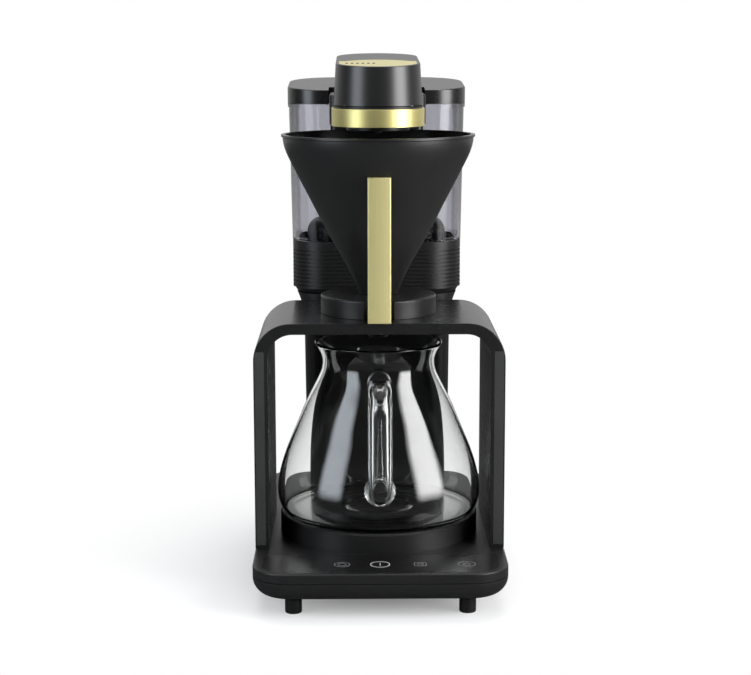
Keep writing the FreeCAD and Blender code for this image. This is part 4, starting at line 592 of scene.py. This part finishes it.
def discMesh(name, radius, rings, steps):
    # rings of points about the origin: x = r cos a, y = r sin a, with r growing evenly from the middle
    r, a = np.meshgrid(np.linspace(radius / rings, radius, rings), np.arange(steps) * 2 * np.pi / steps,
                       indexing="ij")
    verts = np.stack([r * np.cos(a), r * np.sin(a), np.zeros_like(r)], axis=-1).reshape(-1, 3)
    index = np.arange(rings * steps).reshape(rings, steps)
    turn = np.roll(index, -1, axis=1)
    quads = np.stack([index[:-1], index[1:], turn[1:], turn[:-1]], axis=-1).reshape(-1, 4)
    mesh = bpy.data.meshes.new(name)
    mesh.from_pydata(verts.tolist(), [], quads.tolist() + [index[0].tolist()])
    mesh.update()
    return mesh


def makeFloor():
    material, tree = newMaterial("paleFloor")
    path = addNode(tree, "ShaderNodeLightPath").outputs
    where = addNode(tree, "ShaderNodeTexCoord").outputs["Object"]
    distance = vectorMaths(tree, "LENGTH", where)
    fade = remap(tree, distance, 0, 1, studio["floorFadeStart"], studio["floorFadeEnd"])
    place = addNode(tree, "ShaderNodeSeparateXYZ", {0: where}).outputs
    # rays through glass see white only behind the brewer, and mirrored rays see a dim floor
    behind = remap(tree, place["Y"], 0, 1, -0.25, 0.0)
    through = maths(tree, "MULTIPLY", path["Is Transmission Ray"], behind)
    seen = maths(tree, "MAXIMUM", path["Is Camera Ray"], through)
    white = maths(tree, "MULTIPLY", fade, seen)
    mirrored = maths(tree, "SUBTRACT", 1.0, maths(tree, "MAXIMUM", seen, path["Is Diffuse Ray"]))
    colour = blendColour(tree, mirrored, studio["floorColour"], grey(studio["floorMirrored"]))
    surface = addNode(tree, "ShaderNodeBsdfDiffuse", {"Color": colour})
    glow = addNode(tree, "ShaderNodeEmission", {"Color": grey(1.0), "Strength": 1.0})
    mixed = addNode(tree, "ShaderNodeMixShader", {0: white})
    tree.links.new(surface.outputs[0], mixed.inputs[1])
    tree.links.new(glow.outputs[0], mixed.inputs[2])
    finishSurface(tree, mixed)
    floor = bpy.data.objects.new("floor", discMesh("floor", studio["floorRadius"], 12, 96))
    floor.data.materials.append(material)
    bpy.context.scene.collection.objects.link(floor)


def makeWorld():
    world = bpy.data.worlds.new("studio")
    bpy.context.scene.world = world
    world.use_nodes = True
    tree = world.node_tree
    tree.nodes.clear()
    path = addNode(tree, "ShaderNodeLightPath").outputs
    direction = addNode(tree, "ShaderNodeTexCoord").outputs["Generated"]
    along = addNode(tree, "ShaderNodeSeparateXYZ", {0: direction}).outputs
    # through glass only the wall behind is white, and the front of the room stays dark
    through = maths(tree, "MULTIPLY", path["Is Transmission Ray"], remap(tree, along["Y"], 0, 1, -0.1, 0.1))
    seen = maths(tree, "MAXIMUM", path["Is Camera Ray"], through)
    # mirrored rays see a dark room in front, a white wall behind and a pale ceiling
    behind = remap(tree, along["Y"], studio["frontMirrored"], studio["backMirrored"], 0.1, 0.7)
    above = remap(tree, along["Z"], 0.0, studio["ceilingMirrored"], 0.6, 0.95)
    mirrored = maths(tree, "MAXIMUM", behind, above)
    glossy = maths(tree, "MULTIPLY", path["Is Glossy Ray"], mirrored)
    fill = maths(tree, "MULTIPLY", path["Is Diffuse Ray"], studio["fillLevel"])
    level = maths(tree, "MAXIMUM", seen, maths(tree, "ADD", glossy, fill))
    background = addNode(tree, "ShaderNodeBackground", {"Color": grey(1.0), "Strength": level})
    output = addNode(tree, "ShaderNodeOutputWorld")
    tree.links.new(background.outputs[0], output.inputs["Surface"])


def aimAt(thing, place, target):
    thing.location = place
    thing.rotation_euler = Vector(np.array(target) - np.array(place)).to_track_quat("-Z", "Y").to_euler()


def makeSoftbox(name, panel):
    # a glowing panel, brightest over its middle and falling off towards its edges
    material, tree = newMaterial(name)
    size = panel["size"]
    where = addNode(tree, "ShaderNodeTexCoord").outputs["Object"]
    spot = addNode(tree, "ShaderNodeSeparateXYZ", {0: where}).outputs
    edges = []
    for key, half in (("X", size[0] / 2), ("Y", size[1] / 2)):
        away = maths(tree, "ABSOLUTE", spot[key], 0.0)
        edge = addNode(tree, "ShaderNodeMapRange", {"Value": away, "From Min": half * studio["softEdge"],
                                                    "From Max": half, "To Min": 1.0, "To Max": 0.0},
                       interpolation_type="SMOOTHSTEP")
        edges.append(edge.outputs["Result"])
    strength = maths(tree, "MULTIPLY", maths(tree, "MULTIPLY", edges[0], edges[1]), panel["level"])
    facing = addNode(tree, "ShaderNodeNewGeometry").outputs["Backfacing"]
    front = maths(tree, "MULTIPLY", strength, maths(tree, "SUBTRACT", 1.0, facing))
    finishSurface(tree, addNode(tree, "ShaderNodeEmission", {"Color": panel["tint"], "Strength": front}))
    mesh = bpy.data.meshes.new(name)
    x, y = size[0] / 2, size[1] / 2
    mesh.from_pydata([(-x, -y, 0), (-x, y, 0), (x, y, 0), (x, -y, 0)], [], [(0, 1, 2, 3)])
    mesh.materials.append(material)
    softbox = bpy.data.objects.new(name, mesh)
    bpy.context.scene.collection.objects.link(softbox)
    aimAt(softbox, panel["place"], studio["aim"])
    softbox.visible_camera = False


def makeTopLight():
    top = studio["top"]
    light = bpy.data.lights.new("topLight", "AREA")
    light.shape = "RECTANGLE"
    light.size, light.size_y = top["size"]
    light.energy = top["watts"]
    lamp = bpy.data.objects.new("topLight", light)
    bpy.context.scene.collection.objects.link(lamp)
    aimAt(lamp, top["place"], top["aim"])


viewpoint = {
    "place": (-0.0207, -1.6609, 0.4985),
    "pitch": 9.557,
    "yaw": 0.653,
    "roll": 0.109,
    "sensor": 36.0,
    "lens": 36.0 * 1766.2 / 751,
}


def makeCamera():
    data = bpy.data.cameras.new("camera")
    data.sensor_width = viewpoint["sensor"]
    data.lens = viewpoint["lens"]
    data.clip_start = 0.05
    data.clip_end = 20
    camera = bpy.data.objects.new("camera", data)
    bpy.context.scene.collection.objects.link(camera)
    camera.location = viewpoint["place"]
    camera.rotation_euler = [math.radians(angle) for angle in
                             (90 - viewpoint["pitch"], viewpoint["roll"], -viewpoint["yaw"])]
    bpy.context.scene.camera = camera


makeFloor()
makeWorld()
makeSoftbox("softboxLeft", studio["left"])
makeSoftbox("softboxRight", studio["right"])
makeTopLight()
makeCamera()
bpy.context.scene.view_settings.view_transform = "Standard"
print("studio ready")
